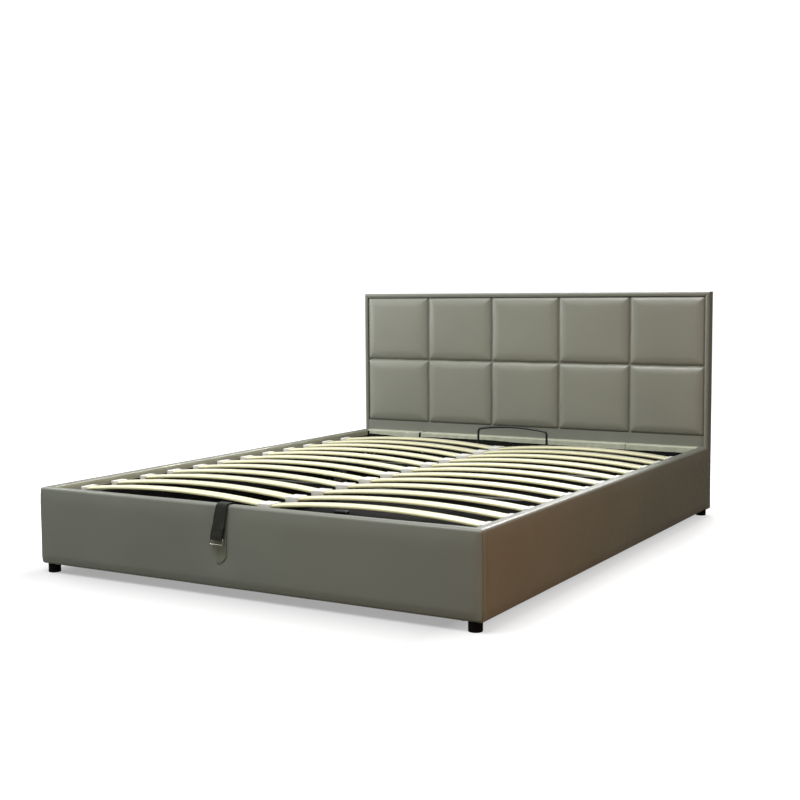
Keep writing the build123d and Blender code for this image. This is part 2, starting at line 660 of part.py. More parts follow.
def platform_hinge_plate():
    """Plate welded to the side tube, with the pin of the strut's upper end."""
    low_y = STRUT_HEAD_Y - HINGE_PLATE_REACH
    high_y = PIVOT_Y + HINGE_PLATE_REACH
    plate = block(PLATFORM_X, HINGE_PLATE_X, low_y, high_y, TUBE_BOTTOM, PLATFORM_TOP)
    plate = fillet(plate.edges().filter_by(Axis.X), HINGE_PLATE_REACH / 2)
    bore = crossbar(PLATFORM_X - CUT, HINGE_PLATE_X + CUT, PIVOT_Y, PIVOT_Z, PIVOT_RADIUS + RUNNING_FIT)
    pin_end = STRUT_X + EYE_WIDTH / 2 + FIT
    pin = crossbar(PLATFORM_X, pin_end, STRUT_HEAD_Y, STRUT_HEAD_Z, STRUT_PIN_RADIUS)
    head = crossbar(
        pin_end, pin_end + STRUT_PIN_HEAD_HEIGHT, STRUT_HEAD_Y, STRUT_HEAD_Z, STRUT_PIN_HEAD_RADIUS
    )
    shoulder_end = STRUT_X - EYE_WIDTH / 2 - FIT
    shoulder = crossbar(HINGE_PLATE_X, shoulder_end, STRUT_HEAD_Y, STRUT_HEAD_Z, STRUT_PIN_HEAD_RADIUS)
    return plate - bore + pin + shoulder + head


def strut_foot_bracket():
    """Plate on the side rail with the pin of the strut's lower end."""
    half = STRUT_BRACKET_WIDTH / 2
    plate = block(
        POST_FACE_X, LINER_X, STRUT_FOOT_Y - half, STRUT_FOOT_Y + half,
        STRUT_FOOT_Z - STRUT_BRACKET_BOTTOM, STRUT_FOOT_Z + STRUT_BRACKET_TOP,
    )
    plate = plate - hinge_post() - holes(mechanism_bolts())
    pin_start = STRUT_X - EYE_WIDTH / 2 - FIT
    pin = crossbar(pin_start, POST_FACE_X, STRUT_FOOT_Y, STRUT_FOOT_Z, STRUT_PIN_RADIUS)
    head = crossbar(
        pin_start - STRUT_PIN_HEAD_HEIGHT, pin_start, STRUT_FOOT_Y, STRUT_FOOT_Z, STRUT_PIN_HEAD_RADIUS
    )
    shoulder_start = STRUT_X + EYE_WIDTH / 2 + FIT
    shoulder = crossbar(shoulder_start, POST_FACE_X, STRUT_FOOT_Y, STRUT_FOOT_Z, STRUT_PIN_HEAD_RADIUS)
    return plate + pin + shoulder + head


def strut_eye():
    """Eye of a strut end, round the X axis, before its bore is cut."""
    return Rot(0, 90, 0) * Cylinder(EYE_RADIUS, EYE_WIDTH)


def strut_eye_bore():
    return Rot(0, 90, 0) * Cylinder(STRUT_PIN_RADIUS + RUNNING_FIT, EYE_WIDTH + CUT)


def along_strut(radius, low, high):
    """A round bar along the strut's own axis."""
    return Pos(0, 0, (low + high) / 2) * Cylinder(radius, high - low)


def strut_cylinder():
    """Pressure tube of the gas strut, hung on the foot bracket."""
    end = STRUT_LENGTH - ROD_SHOWING
    body = along_strut(CYLINDER_RADIUS, CYLINDER_START, end)
    neck = along_strut(NECK_RADIUS, 0, CYLINDER_START)
    bore = along_strut(ROD_RADIUS + RUNNING_FIT, CYLINDER_START + PLATE, end + CUT)
    solid = strut_eye() + neck + body - bore - strut_eye_bore()
    return Pos(STRUT_X, STRUT_FOOT_Y, STRUT_FOOT_Z) * Rot(STRUT_LEAN, 0, 0) * solid


def strut_rod():
    """Piston rod of the gas strut, hung on the platform's hinge plate."""
    rod = along_strut(ROD_RADIUS, ROD_TIP_GAP - STRUT_LENGTH, 0)
    solid = strut_eye() + rod - strut_eye_bore()
    return Pos(STRUT_X, STRUT_HEAD_Y, STRUT_HEAD_Z) * Rot(STRUT_LEAN, 0, 0) * solid


# Pull strap


def strap_line():
    """Middle line of the webbing as (y, z) points, from the foot tube to its end."""
    crest_z = RAIL_TOP + STRAP_CREST
    middle_drop = (STRAP_DROP + STRAP_SHOULDER_DROP) / 2
    return [
        (PLATFORM_Y - STRAP_PIVOT_GAP, PLATFORM_TOP + STRAP_THICKNESS / 2),
        (FOOT_TUCK_Y + 3 * SKIN, (PLATFORM_TOP + RAIL_TOP) / 2),
        (FOOT_TUCK_Y + SKIN, RAIL_TOP - SKIN / 2),
        (FOOT_TUCK_Y - SKIN / 2, crest_z - STRAP_THICKNESS / 2),
        ((FOOT_Y + FOOT_TUCK_Y) / 2, crest_z),
        (FOOT_Y + SKIN, crest_z - STRAP_THICKNESS / 4),
        (FOOT_Y - STRAP_SHOULDER / 2, crest_z - STRAP_SHOULDER_DROP / 2),
        (FOOT_Y - STRAP_SHOULDER, RAIL_TOP - STRAP_SHOULDER_DROP),
        (FOOT_Y - (STRAP_SHOULDER + STRAP_STAND_OFF) / 2, RAIL_TOP - middle_drop),
        (FOOT_Y - STRAP_STAND_OFF, RAIL_TOP - STRAP_DROP + LOOP_HEIGHT),
    ]


def beside(points, distance):
    """The same line, moved sideways by distance towards the rail."""
    moved = []
    for index, (y, z) in enumerate(points):
        before = points[max(index - 1, 0)]
        after = points[min(index + 1, len(points) - 1)]
        run_y = after[0] - before[0]
        run_z = after[1] - before[1]
        run = hypot(run_y, run_z)
        moved.append((y - distance * run_z / run, z + distance * run_y / run))
    return moved


def strip(points, centres, width, thickness):
    """A flat strip along (y, z) points, with the middle of each section at its own x."""
    sections = []
    for index, (y, z) in enumerate(points):
        before = points[max(index - 1, 0)]
        after = points[min(index + 1, len(points) - 1)]
        tangent = (0, after[0] - before[0], after[1] - before[1])
        plane = Plane(origin=(centres[index], y, z), x_dir=(1, 0, 0), z_dir=tangent)
        sections.append(plane * Rectangle(width, thickness))
    return loft(sections, ruled=True)


def ring_place():
    """Middle of the ring's upper bar."""
    return (STRAP_END_X, FOOT_Y - STRAP_STAND_OFF, RAIL_TOP - STRAP_DROP + LOOP_HEIGHT / 2)


def pull_strap():
    """Webbing over the foot rail, leaning to one side, with a loop for the ring."""
    points = strap_line()
    crest_z = RAIL_TOP + STRAP_CREST
    centres = []
    for y, z in points:
        fall = (crest_z - z) / STRAP_DROP if y < FOOT_Y else 0
        centres.append(STRAP_TOP_X + fall * (STRAP_END_X - STRAP_TOP_X))
    webbing = strip(points, centres, STRAP_WIDTH, STRAP_THICKNESS)
    x, y, z = ring_place()
    loop = Pos(x, y, z) * Box(STRAP_WIDTH, LOOP_THICKNESS, LOOP_HEIGHT + FIT)
    loop = fillet(loop.edges().filter_by(Axis.X), LOOP_THICKNESS / 3)
    hole = crossbar(x - STRAP_WIDTH, x + STRAP_WIDTH, y, z, RING_WIRE_RADIUS + FIT)
    return webbing + loop - hole


def strap_ring():
    """Rectangular wire ring through the loop of the webbing."""
    x, y, z = ring_place()
    half_width = STRAP_WIDTH / 2 + RING_CORNER
    low_z = z + 2 * RING_WIRE_RADIUS - RING_HEIGHT
    plane = Plane(origin=(x, y, (z + low_z) / 2), x_dir=(1, 0, 0), z_dir=(0, -1, 0))
    path = (plane * RectangleRounded(2 * half_width, z - low_z, RING_CORNER)).wire()
    start = Plane(origin=path @ 0, z_dir=path % 0)
    return sweep(start * Circle(RING_WIRE_RADIUS), path=path)


def strap_tab():
    """Leatherette tab under the webbing, its end cut at a slant."""
    layer = (STRAP_THICKNESS + TAB_THICKNESS) / 2 + FIT
    points = [(y, z) for y, z in beside(strap_line(), layer) if z > RAIL_TOP - TAB_SHOULDER_DROP]
    points = [(y, z) for y, z in points if y < FOOT_BOARD_Y]
    face_y = points[-1][0]
    points.append((face_y - TAB_FLARE / 2, RAIL_TOP - (TAB_DROP + STRAP_SHOULDER_DROP) / 2))
    points.append((face_y - TAB_FLARE, RAIL_TOP - TAB_DROP))
    tab = strip(points, [TAB_X] * len(points), TAB_WIDTH, TAB_THICKNESS)
    low = RAIL_TOP - TAB_DROP
    left = TAB_X - TAB_WIDTH / 2
    right = TAB_X + TAB_WIDTH / 2
    corners = [
        (left - CUT, low),
        (right + CUT, low + TAB_END_RISE),
        (right + CUT, low - CUT),
        (left - CUT, low - CUT),
    ]
    slant = make_face(Polyline(corners, close=True))
    plane = Plane(origin=(0, FOOT_Y, 0), x_dir=(1, 0, 0), z_dir=(0, -1, 0))
    return tab - extrude(plane * slant, STRAP_REACH + CUT, both=True)


def strap_anchor():
    """End of the webbing, flat on the foot tube."""
    half = STRAP_WIDTH / 2
    return block(
        STRAP_TOP_X - half, STRAP_TOP_X + half, PLATFORM_Y + STRAP_PIVOT_GAP, PLATFORM_Y + TUBE,
        PLATFORM_TOP, PLATFORM_TOP + STRAP_THICKNESS,
    )


def strap_screws():
    """Two round-headed screws through the webbing into the foot tube."""
    y = PLATFORM_Y + TUBE / 2
    top = PLATFORM_TOP + STRAP_THICKNESS
    screws = []
    for side in (-1, 1):
        place = Pos(STRAP_TOP_X + side * STRAP_SCREW_SPACING / 2, y, top)
        head = place * Pos(0, 0, STRAP_THICKNESS / 2) * Cylinder(STRAP_SCREW_HEAD, STRAP_THICKNESS)
        shank = place * Pos(0, 0, -TUBE / 4) * Cylinder(STRAP_SCREW_RADIUS, TUBE / 2)
        screws.append(head + shank)
    return screws


def screw_holes():
    """Clearance holes for the strap screws."""
    y = PLATFORM_Y + TUBE / 2
    pieces = []
    for side in (-1, 1):
        x = STRAP_TOP_X + side * STRAP_SCREW_SPACING / 2
        pieces.append(Pos(x, y, PLATFORM_TOP) * Cylinder(STRAP_SCREW_RADIUS + FIT, TUBE))
    return pieces


def build():
    """Make every sub-part and write it to its file."""
    os.makedirs("parts", exist_ok=True)

    save("headboard_board", [headboard_board()])
    save("headboard_cover", [headboard_cover()])
    save("headboard_lining", [headboard_lining()])
    for row in range(PAD_ROWS):
        for column in range(PAD_COLUMNS):
            save(f"headboard_pad_{row * PAD_COLUMNS + column + 1:02d}", [headboard_pad(column, row)])

    save("head_rail_board", [head_rail_board()])
    save("head_rail_cover", [head_rail_cover()])
    save_sides("side_rail_board", side_rail_board())
    save_sides("side_rail_cover", side_rail_cover())
    save("foot_rail_board", [foot_rail_board()])
    save("foot_rail_cover", [foot_rail_cover()])
    save("storage_liner", [storage_liner()])
    save("corner_brackets", corner_brackets())
    save("frame_bolts", [bolt(*place) for place in corner_bolts() + headboard_bolts()])
    save("mechanism_bolts", [bolt(*place) for place in mechanism_bolts()])

    save("floor_beam", [floor_beam()])
    save("floor_battens", floor_battens())
    save("storage_floor_panels", storage_floor_panels())
    save("corner_feet", corner_feet())
    save("centre_feet", centre_feet())

    save_sides("platform_side_tube", platform_side_tube())
    foot_tube = tube_along_x(TUBE - PLATFORM_X, PLATFORM_X - TUBE, PLATFORM_Y)
    save("platform_foot_tube", [foot_tube - screw_holes()])
    save("platform_head_tube", [tube_along_x(TUBE - PLATFORM_X, PLATFORM_X - TUBE, PLATFORM_END_Y - TUBE)])
    save("platform_centre_tube", [tube_along_y(-TUBE / 2, PLATFORM_Y + TUBE, PLATFORM_END_Y - TUBE)])
    for number, gap in enumerate(CROSS_TUBE_GAPS, start=1):
        save(f"platform_cross_tube_{number}", platform_cross_tube(gap))
    save("tube_end_plugs", tube_end_plugs())
    right_slats = [slat(row, 0) for row in range(SLAT_ROWS)]
    save("slats_right", right_slats)
    save("slats_left", [mirror(piece, about=Plane.YZ) for piece in right_slats])
    save("slat_end_caps", slat_end_caps())
    save("slat_centre_caps", slat_centre_caps())
    save("mattress_retaining_bar", [mattress_retaining_bar()])
    save("foot_stop_block", [foot_stop_block()])

    save_sides("hinge_post", hinge_post())
    save("pivot_bolts", both_sides(pivot_bolt()))
    save_sides("platform_hinge_plate", platform_hinge_plate())
    save_sides("strut_foot_bracket", strut_foot_bracket())
    save_sides("strut_cylinder", strut_cylinder())
    save_sides("strut_rod", strut_rod())

    save("pull_strap", [pull_strap()])
    save("strap_ring", [strap_ring()])
    save("strap_tab", [strap_tab()])
    save("strap_anchor", [strap_anchor() - screw_holes()])
    save("strap_screws", strap_screws())


build()
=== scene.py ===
"""Looks of an upholstered ottoman storage bed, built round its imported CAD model."""

import logging
import math
from collections.abc import Callable, Iterable, Sequence
from dataclasses import dataclass
from enum import Enum
from typing import Any

import bmesh
import bpy
from bmesh.types import BMEdge, BMesh, BMVert
from bpy.types import Material, Mesh, MeshVertex, Node, NodeSocket, NodeTree, Object
from mathutils import Matrix, Vector, noise


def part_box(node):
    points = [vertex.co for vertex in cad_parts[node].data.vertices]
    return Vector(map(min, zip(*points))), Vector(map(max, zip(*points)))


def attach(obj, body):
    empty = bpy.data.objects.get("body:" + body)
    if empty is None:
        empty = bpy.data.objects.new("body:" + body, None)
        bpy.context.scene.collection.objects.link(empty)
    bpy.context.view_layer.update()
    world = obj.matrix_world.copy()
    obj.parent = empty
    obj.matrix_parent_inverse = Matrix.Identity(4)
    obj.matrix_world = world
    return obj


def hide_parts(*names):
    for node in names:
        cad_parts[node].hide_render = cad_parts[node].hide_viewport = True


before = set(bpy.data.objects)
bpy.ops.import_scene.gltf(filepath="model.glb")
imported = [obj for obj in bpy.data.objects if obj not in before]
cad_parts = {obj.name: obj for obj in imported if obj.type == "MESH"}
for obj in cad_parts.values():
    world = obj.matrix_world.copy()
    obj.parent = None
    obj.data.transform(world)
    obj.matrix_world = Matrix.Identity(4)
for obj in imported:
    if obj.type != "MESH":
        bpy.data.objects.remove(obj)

LOG = logging.getLogger("ottoman_bed")
MM = 0.001
HAIR = 0.1 * MM
WELD = 1e-6
QUARTER = math.pi / 2
SHARP_ANGLE = math.radians(38)
WEAVE = "weave"
ACROSS = Vector((1, 0, 0))
HEADWARD = Vector((0, 1, 0))
UP = Vector((0, 0, 1))


class Body(Enum):
    """The rigid bodies that pieces made here ride on."""

    BASE = "base"
    PLATFORM = "platform"
    STRAP = "pull_strap"


class Slot(Enum):
    """The record's material slots."""

    LEATHERETTE = "leatherette"
    PAD_LEATHERETTE = "pad_leatherette"
    BOARD = "board"
    FLOOR_PANEL = "floor_panel"
    BATTEN = "batten"
    LINER = "liner"
    SLAT = "slat"
    WHITE_PLASTIC = "white_plastic"
    BLACK_PLASTIC = "black_plastic"
    BLACK_STEEL = "black_steel"
    ZINC_STEEL = "zinc_steel"
    STRUT_PAINT = "strut_paint"
    BRIGHT_ROD = "bright_rod"
    RING_METAL = "ring_metal"
    WEBBING = "webbing"


class Side(Enum):
    """The two sides of the bed, as seen from its foot."""

    LEFT = -1
    RIGHT = 1

    @property
    def word(self) -> str:
        """The side's name as node names spell it."""
        return self.name.lower()


# Numbers


def unit(value: float) -> float:
    """Hold a value between 0 and 1."""
    return min(max(value, 0.0), 1.0)


def noise_at(*place: float) -> float:
    """Smooth noise at three numbers, from about -1 to 1."""
    return noise.noise(Vector(place))


def ripple(place: Vector, size: float, seed: float) -> float:
    """Smooth noise at one place.

    Args:
        place: The place in metres.
        size: The width of a wave in metres.
        seed: Which noise it is.

    Returns:
        A value from about -1 to 1.
    """
    return noise.noise(place / size + Vector((seed, 1.7 * seed, -seed)))


def spread(low: float, high: float, step: float) -> list[float]:
    """Even places from low to high.

    Args:
        low: The first place.
        high: The last place.
        step: The widest gap between two places.

    Returns:
        The places, both ends with them.
    """
    count = max(1, math.ceil((high - low) / step))
    return [low + (high - low) * index / count for index in range(count + 1)]


# Colour and nodes


def linear(code: str) -> tuple[float, float, float, float]:
    """Turn an sRGB hex colour to linear light.

    Args:
        code: Six hex digits, red first.

    Returns:
        Linear red, green and blue, with full opacity.
    """
    channels = []
    for start in (0, 2, 4):
        value = int(code[start:start + 2], 16) / 255
        channels.append(value / 12.92 if value <= 0.04045 else ((value + 0.055) / 1.055) ** 2.4)
    return channels[0], channels[1], channels[2], 1.0


def set_inputs(tree: NodeTree, node: Node, inputs: dict[str | int, Any]) -> None:
    """Set a node's inputs to values, or link them.

    Args:
        tree: The node tree.
        node: The node.
        inputs: Values, or output sockets to link from, by input name or number.
    """
    for name, value in inputs.items():
        if isinstance(value, NodeSocket):
            tree.links.new(value, node.inputs[name])
        else:
            node.inputs[name].default_value = value


def add_node(
    tree: NodeTree, kind: str, settings: dict[str, Any] | None = None, inputs: dict[str | int, Any] | None = None
) -> Node:
    """Add a node with its settings, and its inputs as values or links.

    Args:
        tree: The node tree that takes the node.
        kind: Blender's name for the type of node.
        settings: Attributes of the node by name.
        inputs: Values, or output sockets to link from, by input name or number.

    Returns:
        The new node.
    """
    node = tree.nodes.new(kind)
    for name, value in (settings or {}).items():
        setattr(node, name, value)
    set_inputs(tree, node, inputs or {})
    return node


def cloud(tree: NodeTree, spot: NodeSocket, width: float, **more: float) -> NodeSocket:
    """Noise in patches.

    Args:
        tree: The material's nodes.
        spot: The place that it is read at.
        width: The width of a patch.
        more: Other inputs of the noise by name.

    Returns:
        Its value, from 0 to 1.
    """
    inputs = {"Vector": spot, "Scale": 1 / width, **more}
    return add_node(tree, "ShaderNodeTexNoise", inputs=inputs).outputs["Fac"]


def stretched(tree: NodeTree, spot: NodeSocket, sizes: Sequence[float]) -> NodeSocket:
    """Stretch a place, for a texture that is longer one way than the other.

    Args:
        tree: The material's nodes.
        spot: The place.
        sizes: The texture's size along X, Y and Z.

    Returns:
        The place for the texture, counted in its sizes.
    """
    inputs = {"Vector": spot, "Scale": tuple(1 / size for size in sizes)}
    return add_node(tree, "ShaderNodeMapping", inputs=inputs).outputs["Vector"]


def tones(tree: NodeTree, amount: NodeSocket, *stops: tuple[float, str]) -> NodeSocket:
    """Blend two tones.

    Args:
        tree: The material's nodes.
        amount: What picks the tone, from 0 to 1.
        stops: The two places with their hex colours.

    Returns:
        The colour.
    """
    ramp = add_node(tree, "ShaderNodeValToRGB", inputs={"Fac": amount})
    for element, (place, code) in zip(ramp.color_ramp.elements, stops):
        element.position = place
        element.color = linear(code)
    return ramp.outputs["Color"]


def ranged(
    tree: NodeTree, value: NodeSocket, given: tuple[float, float], wanted: tuple[Any, Any] = (0.0, 1.0)
) -> NodeSocket:
    """Carry a value from one range to another, held at both ends.

    Args:
        tree: The node tree.
        value: The value.
        given: The range that it comes in.
        wanted: The range that it gets, as numbers or sockets.

    Returns:
        The new value.
    """
    names = ("From Min", "From Max", "To Min", "To Max")
    inputs = {"Value": value, **dict(zip(names, (*given, *wanted)))}
    return add_node(tree, "ShaderNodeMapRange", inputs=inputs).outputs["Result"]


def embossed(
    tree: NodeTree, height: NodeSocket, strength: float, depth: float, under: NodeSocket | None = None
) -> NodeSocket:
    """Raise a skin by a texture.

    Args:
        tree: The material's nodes.
        height: The texture.
        strength: How much of it shows.
        depth: How deep it is.
        under: Another relief below this one.

    Returns:
        The normal for the shader.
    """
    inputs = {"Strength": strength, "Distance": depth, "Height": height}
    if under is not None:
        inputs["Normal"] = under
    return add_node(tree, "ShaderNodeBump", inputs=inputs).outputs["Normal"]


# Finishes


@dataclass(frozen=True)
class Finish:
    """A material, made once and shared by the pieces that it dresses."""

    name: str
    slot: Slot

    def material(self) -> Material:
        """Make the finish as a Blender material, or find it.

        Returns:
            The material.
        """
        found = bpy.data.materials.get(self.name)
        if found:
            return found
        made = bpy.data.materials.new(self.name)
        made.use_nodes = True
        tree = made.node_tree
        look = self.look(tree, add_node(tree, "ShaderNodeTexCoord"))
        set_inputs(tree, tree.nodes["Principled BSDF"], look)
        return made

    def look(self, tree: NodeTree, place: Node) -> dict[str, Any]:
        """Make the finish's colour, gloss and relief.

        Args:
            tree: The material's nodes.
            place: Its Texture Coordinate node.

        Returns:
            Values or sockets for the shader's inputs.
        """
        raise NotImplementedError


@dataclass(frozen=True)
class Leatherette(Finish):
    """PVC-coated cloth, calendered and embossed: a satin skin with fine pebbles and soft wide creases."""

    light: str
    dark: str
    roughness: float = 0.42
    pebble: float = 3.2 * MM  # real pebbles are under 1 mm; drawn coarser so that they show
    crease: float = 55 * MM
    drift: float = 0.45

    def look(self, tree: NodeTree, place: Node) -> dict[str, Any]:
        """Make the finish's colour, gloss and relief, as Finish says."""
        spot = place.outputs["Object"]
        drift = cloud(tree, spot, self.drift, Detail=3.0)
        crease = cloud(tree, spot, self.crease, Detail=2.0)
        pebble = add_node(
            tree, "ShaderNodeTexVoronoi", {"feature": "SMOOTH_F1"},
            {"Vector": spot, "Scale": 1 / self.pebble, "Smoothness": 0.6},
        )
        wide = embossed(tree, crease, 0.25, 0.6 * MM)
        return {
            "Base Color": tones(tree, drift, (0.3, self.dark), (0.72, self.light)),
            "Roughness": ranged(tree, crease, (0.3, 0.7), (self.roughness - 0.04, self.roughness + 0.05)),
            "Normal": embossed(tree, pebble.outputs["Distance"], 0.3, 0.12 * MM, wide),
        }


@dataclass(frozen=True)
class BentBirch(Finish):
    """Peeled birch veneers glued in a press and lacquered: pale, with long streaks and yellower edges, whose tone is
    partly the plies' own colour and partly painted light.
    """

    face: str = "cccbb3"
    streak: str = "c1bfa0"
    edge: str = "d2d0a4"
    streak_width: float = 7 * MM
    streak_length: float = 260 * MM

    def look(self, tree: NodeTree, place: Node) -> dict[str, Any]:
        """Make the finish's colour, gloss and relief, as Finish says."""
        streaks = stretched(tree, place.outputs["Object"], (self.streak_length, self.streak_width, self.streak_width))
        grain = cloud(tree, streaks, 1.0, Detail=4.0, Distortion=0.6)
        face = tones(tree, grain, (0.34, self.streak), (0.6, self.face))
        # Faces that don't look up get the yellower edge tone: partly the plies' own colour, partly painted light.
        facing = add_node(tree, "ShaderNodeSeparateXYZ", inputs={"Vector": place.outputs["Normal"]})
        level = add_node(tree, "ShaderNodeMath", {"operation": "ABSOLUTE"}, {0: facing.outputs["Z"]})
        flatness = ranged(tree, level.outputs["Value"], (0.45, 0.95))
        both = add_node(
            tree, "ShaderNodeMix", {"data_type": "RGBA"}, {"Factor": flatness, "A": linear(self.edge), "B": face}
        )
        return {
            "Base Color": both.outputs["Result"], "Normal": embossed(tree, grain, 0.2, 0.15 * MM),
            "Roughness": 0.42, "Coat Weight": 0.15, "Coat Roughness": 0.3,
        }


@dataclass(frozen=True)
class MouldedPlastic(Finish):
    """Injection-moulded polymer: even colour, a fine sparked skin and faint flow marks."""

    colour: str
    shade: str
    roughness: float = 0.45
    sheen: float = 0.5
    spark: float = 1.6 * MM  # the real spark texture is finer than a pixel
    flow: float = 30 * MM

    def look(self, tree: NodeTree, place: Node) -> dict[str, Any]:
        """Make the finish's colour, gloss and relief, as Finish says."""
        spot = place.outputs["Object"]
        flow = cloud(tree, spot, self.flow, Detail=2.0)
        return {
            "Base Color": tones(tree, flow, (0.35, self.shade), (0.6, self.colour)),
            "Normal": embossed(tree, cloud(tree, spot, self.spark), 0.15, 0.08 * MM),
            "Roughness": self.roughness, "Specular IOR Level": self.sheen,
        }


@dataclass(frozen=True)
class PowderCoat(Finish):
    """Baked powder on steel: dark satin paint with an orange-peel ripple."""

    colour: str = "141414"
    worn: str = "242423"
    peel: float = 2.4 * MM
    roughness: float = 0.38
    dust: float = 60 * MM

    def look(self, tree: NodeTree, place: Node) -> dict[str, Any]:
        """Make the finish's colour, gloss and relief, as Finish says."""
        spot = place.outputs["Object"]
        dust = cloud(tree, spot, self.dust, Detail=5.0)
        return {
            "Base Color": tones(tree, dust, (0.45, self.colour), (0.8, self.worn)),
            "Normal": embossed(tree, cloud(tree, spot, self.peel, Detail=1.0), 0.2, 0.1 * MM),
            "Roughness": self.roughness,
        }


@dataclass(frozen=True)
class PlatedSteel(Finish):
    """Pressed or drawn steel under zinc, nickel or chrome: bright metal with a faint rolled haze."""

    colour: str
    haze: str
    roughness: float
    drawn: float = 1.5 * MM
    bloom: float = 18 * MM

    def look(self, tree: NodeTree, place: Node) -> dict[str, Any]:
        """Make the finish's colour, gloss and relief, as Finish says."""
        spot = place.outputs["Object"]
        bloom = cloud(tree, spot, self.bloom, Detail=4.0)
        return {
            "Base Color": tones(tree, bloom, (0.35, self.haze), (0.7, self.colour)),
            "Roughness": ranged(tree, bloom, (0.0, 1.0), (self.roughness * 0.8, self.roughness * 1.25)),
            "Normal": embossed(tree, cloud(tree, spot, self.drawn, Detail=1.0), 0.08, 0.05 * MM),
            "Metallic": 1.0,
        }


@dataclass(frozen=True)
class WovenCloth(Finish):
    """Threads over and under: webbing in a plain weave, or felted lining where the threads are short."""

    colour: str
    shade: str
    thread: float
    relief: float
    roughness: float = 0.8
    along: str = ""
    fading: float = 25 * MM

    def look(self, tree: NodeTree, place: Node) -> dict[str, Any]:
        """Make the finish's colour, gloss and relief, as Finish says."""
        spot = place.outputs["Object"]
        if self.along:
            spot = add_node(tree, "ShaderNodeAttribute", {"attribute_name": self.along}).outputs["Vector"]
        threads = [
            add_node(
                tree, "ShaderNodeTexWave", {"bands_direction": way},
                {"Vector": spot, "Scale": 1 / (self.thread * math.tau), "Distortion": 0.6, "Detail": 1.0},
            ).outputs["Fac"]
            for way in ("X", "Y" if self.along else "Z")
        ]
        weave = add_node(tree, "ShaderNodeMath", {"operation": "MULTIPLY"}, {0: threads[0], 1: threads[1]})
        fading = cloud(tree, spot, self.fading, Detail=6.0)
        return {
            "Base Color": tones(tree, fading, (0.35, self.shade), (0.7, self.colour)),
            "Normal": embossed(tree, weave.outputs["Value"], 0.5, self.relief),
            "Roughness": self.roughness, "Sheen Weight": 0.03, "Specular IOR Level": 0.15,
        }


@dataclass(frozen=True)
class PressedBoard(Finish):
    """Wood chips or sawn softwood: warm, mottled or streaked, and matt."""

    light: str
    dark: str
    chip: tuple[float, float, float]
    roughness: float = 0.75

    def look(self, tree: NodeTree, place: Node) -> dict[str, Any]:
        """Make the finish's colour, gloss and relief, as Finish says."""
        chips = cloud(tree, stretched(tree, place.outputs["Object"], self.chip), 1.0, Detail=4.0, Roughness=0.6)
        return {
            "Base Color": tones(tree, chips, (0.3, self.dark), (0.7, self.light)),
            "Normal": embossed(tree, chips, 0.3, 0.2 * MM),
            "Roughness": self.roughness, "Specular IOR Level": 0.2,
        }


# Grey-green covers with a soft satin sheen; the lighter copies on the panels, the ledge and the turned-in hem are
# painted light
RAIL_LEATHERETTE = Leatherette("embossed_leatherette", Slot.LEATHERETTE, light="6a6d64", dark="63665d")
# The panels' copy of the leatherette is a little lighter than the rails': painted light.
PAD_LEATHERETTE = Leatherette(
    "embossed_leatherette_on_foam", Slot.PAD_LEATHERETTE, light="75776c", dark="6e7066", roughness=0.38
)
# The ledge's copy of the leatherette is much lighter: painted light.
LEDGE_PAINTED_LIGHT_LEATHERETTE = Leatherette("creased_leatherette", Slot.LEATHERETTE, "a5a996", "989c8a", roughness=0.36)
# The turned-in hem's copy of the leatherette is lighter: painted light.
TURNED_IN_PAINTED_LIGHT_LEATHERETTE = Leatherette("stretched_leatherette", Slot.LEATHERETTE, "b0b3a0", "a3a693", roughness=0.36)
TAB_LEATHERETTE = Leatherette("leatherette_tab", Slot.LEATHERETTE, "646657", "5c5e4f", roughness=0.45)

# Cream slats with a lacquer's soft shine in milky white holders; dull black plugs and feet
SLAT_BIRCH = BentBirch("lacquered_bent_birch", Slot.SLAT)
WHITE_MOULDING = MouldedPlastic("moulded_white_polypropylene", Slot.WHITE_PLASTIC, "cdcdc6", "c5c4bb", roughness=0.4)
BLACK_MOULDING = MouldedPlastic("moulded_black_polypropylene", Slot.BLACK_PLASTIC, "0a0a0a", "070707", sheen=0.15)

# Black tubes with a dim grey glint, glossier struts, and small bright metal that catches the lamps
BLACK_PAINT = PowderCoat("black_powder_coated_steel", Slot.BLACK_STEEL)
STRUT_ENAMEL = PowderCoat("black_enamelled_steel", Slot.STRUT_PAINT, "0e0e0f", "161617", peel=4 * MM, roughness=0.22)
ZINC_PLATE = PlatedSteel("zinc_plated_pressed_steel", Slot.ZINC_STEEL, "d6d8d8", haze="b6b9ba", roughness=0.34)
STAPLE_WIRE = PlatedSteel("galvanised_staple_wire", Slot.ZINC_STEEL, "c9cbcb", haze="a5a8a8", roughness=0.4)
CHROME = PlatedSteel("ground_and_chromed_rod", Slot.BRIGHT_ROD, "e6e6e6", haze="dcdcdc", roughness=0.12)
NICKEL = PlatedSteel("nickel_plated_wire", Slot.RING_METAL, "e2e0d6", haze="ccc9bc", roughness=0.42)

# Matt dark cloth: ribbed webbing, felted lining that swallows light, and sewing thread
WEBBING = WovenCloth(
    "black_polypropylene_webbing", Slot.WEBBING, "2b2c27", "22231f", 1.6 * MM, relief=0.35 * MM, along=WEAVE
)
LINING = WovenCloth(
    "black_spunbond_lining", Slot.LINER, "121210", "0c0c0b", 2.2 * MM, relief=0.12 * MM, roughness=0.9
)
TAB_THREAD = WovenCloth("olive_bonded_thread", Slot.LEATHERETTE, "6a6c5c", "5e6052", 0.5 * MM, relief=0.1 * MM)
THREAD = WovenCloth("black_bonded_thread", Slot.WEBBING, "141413", "0d0d0c", 0.5 * MM, relief=0.1 * MM)

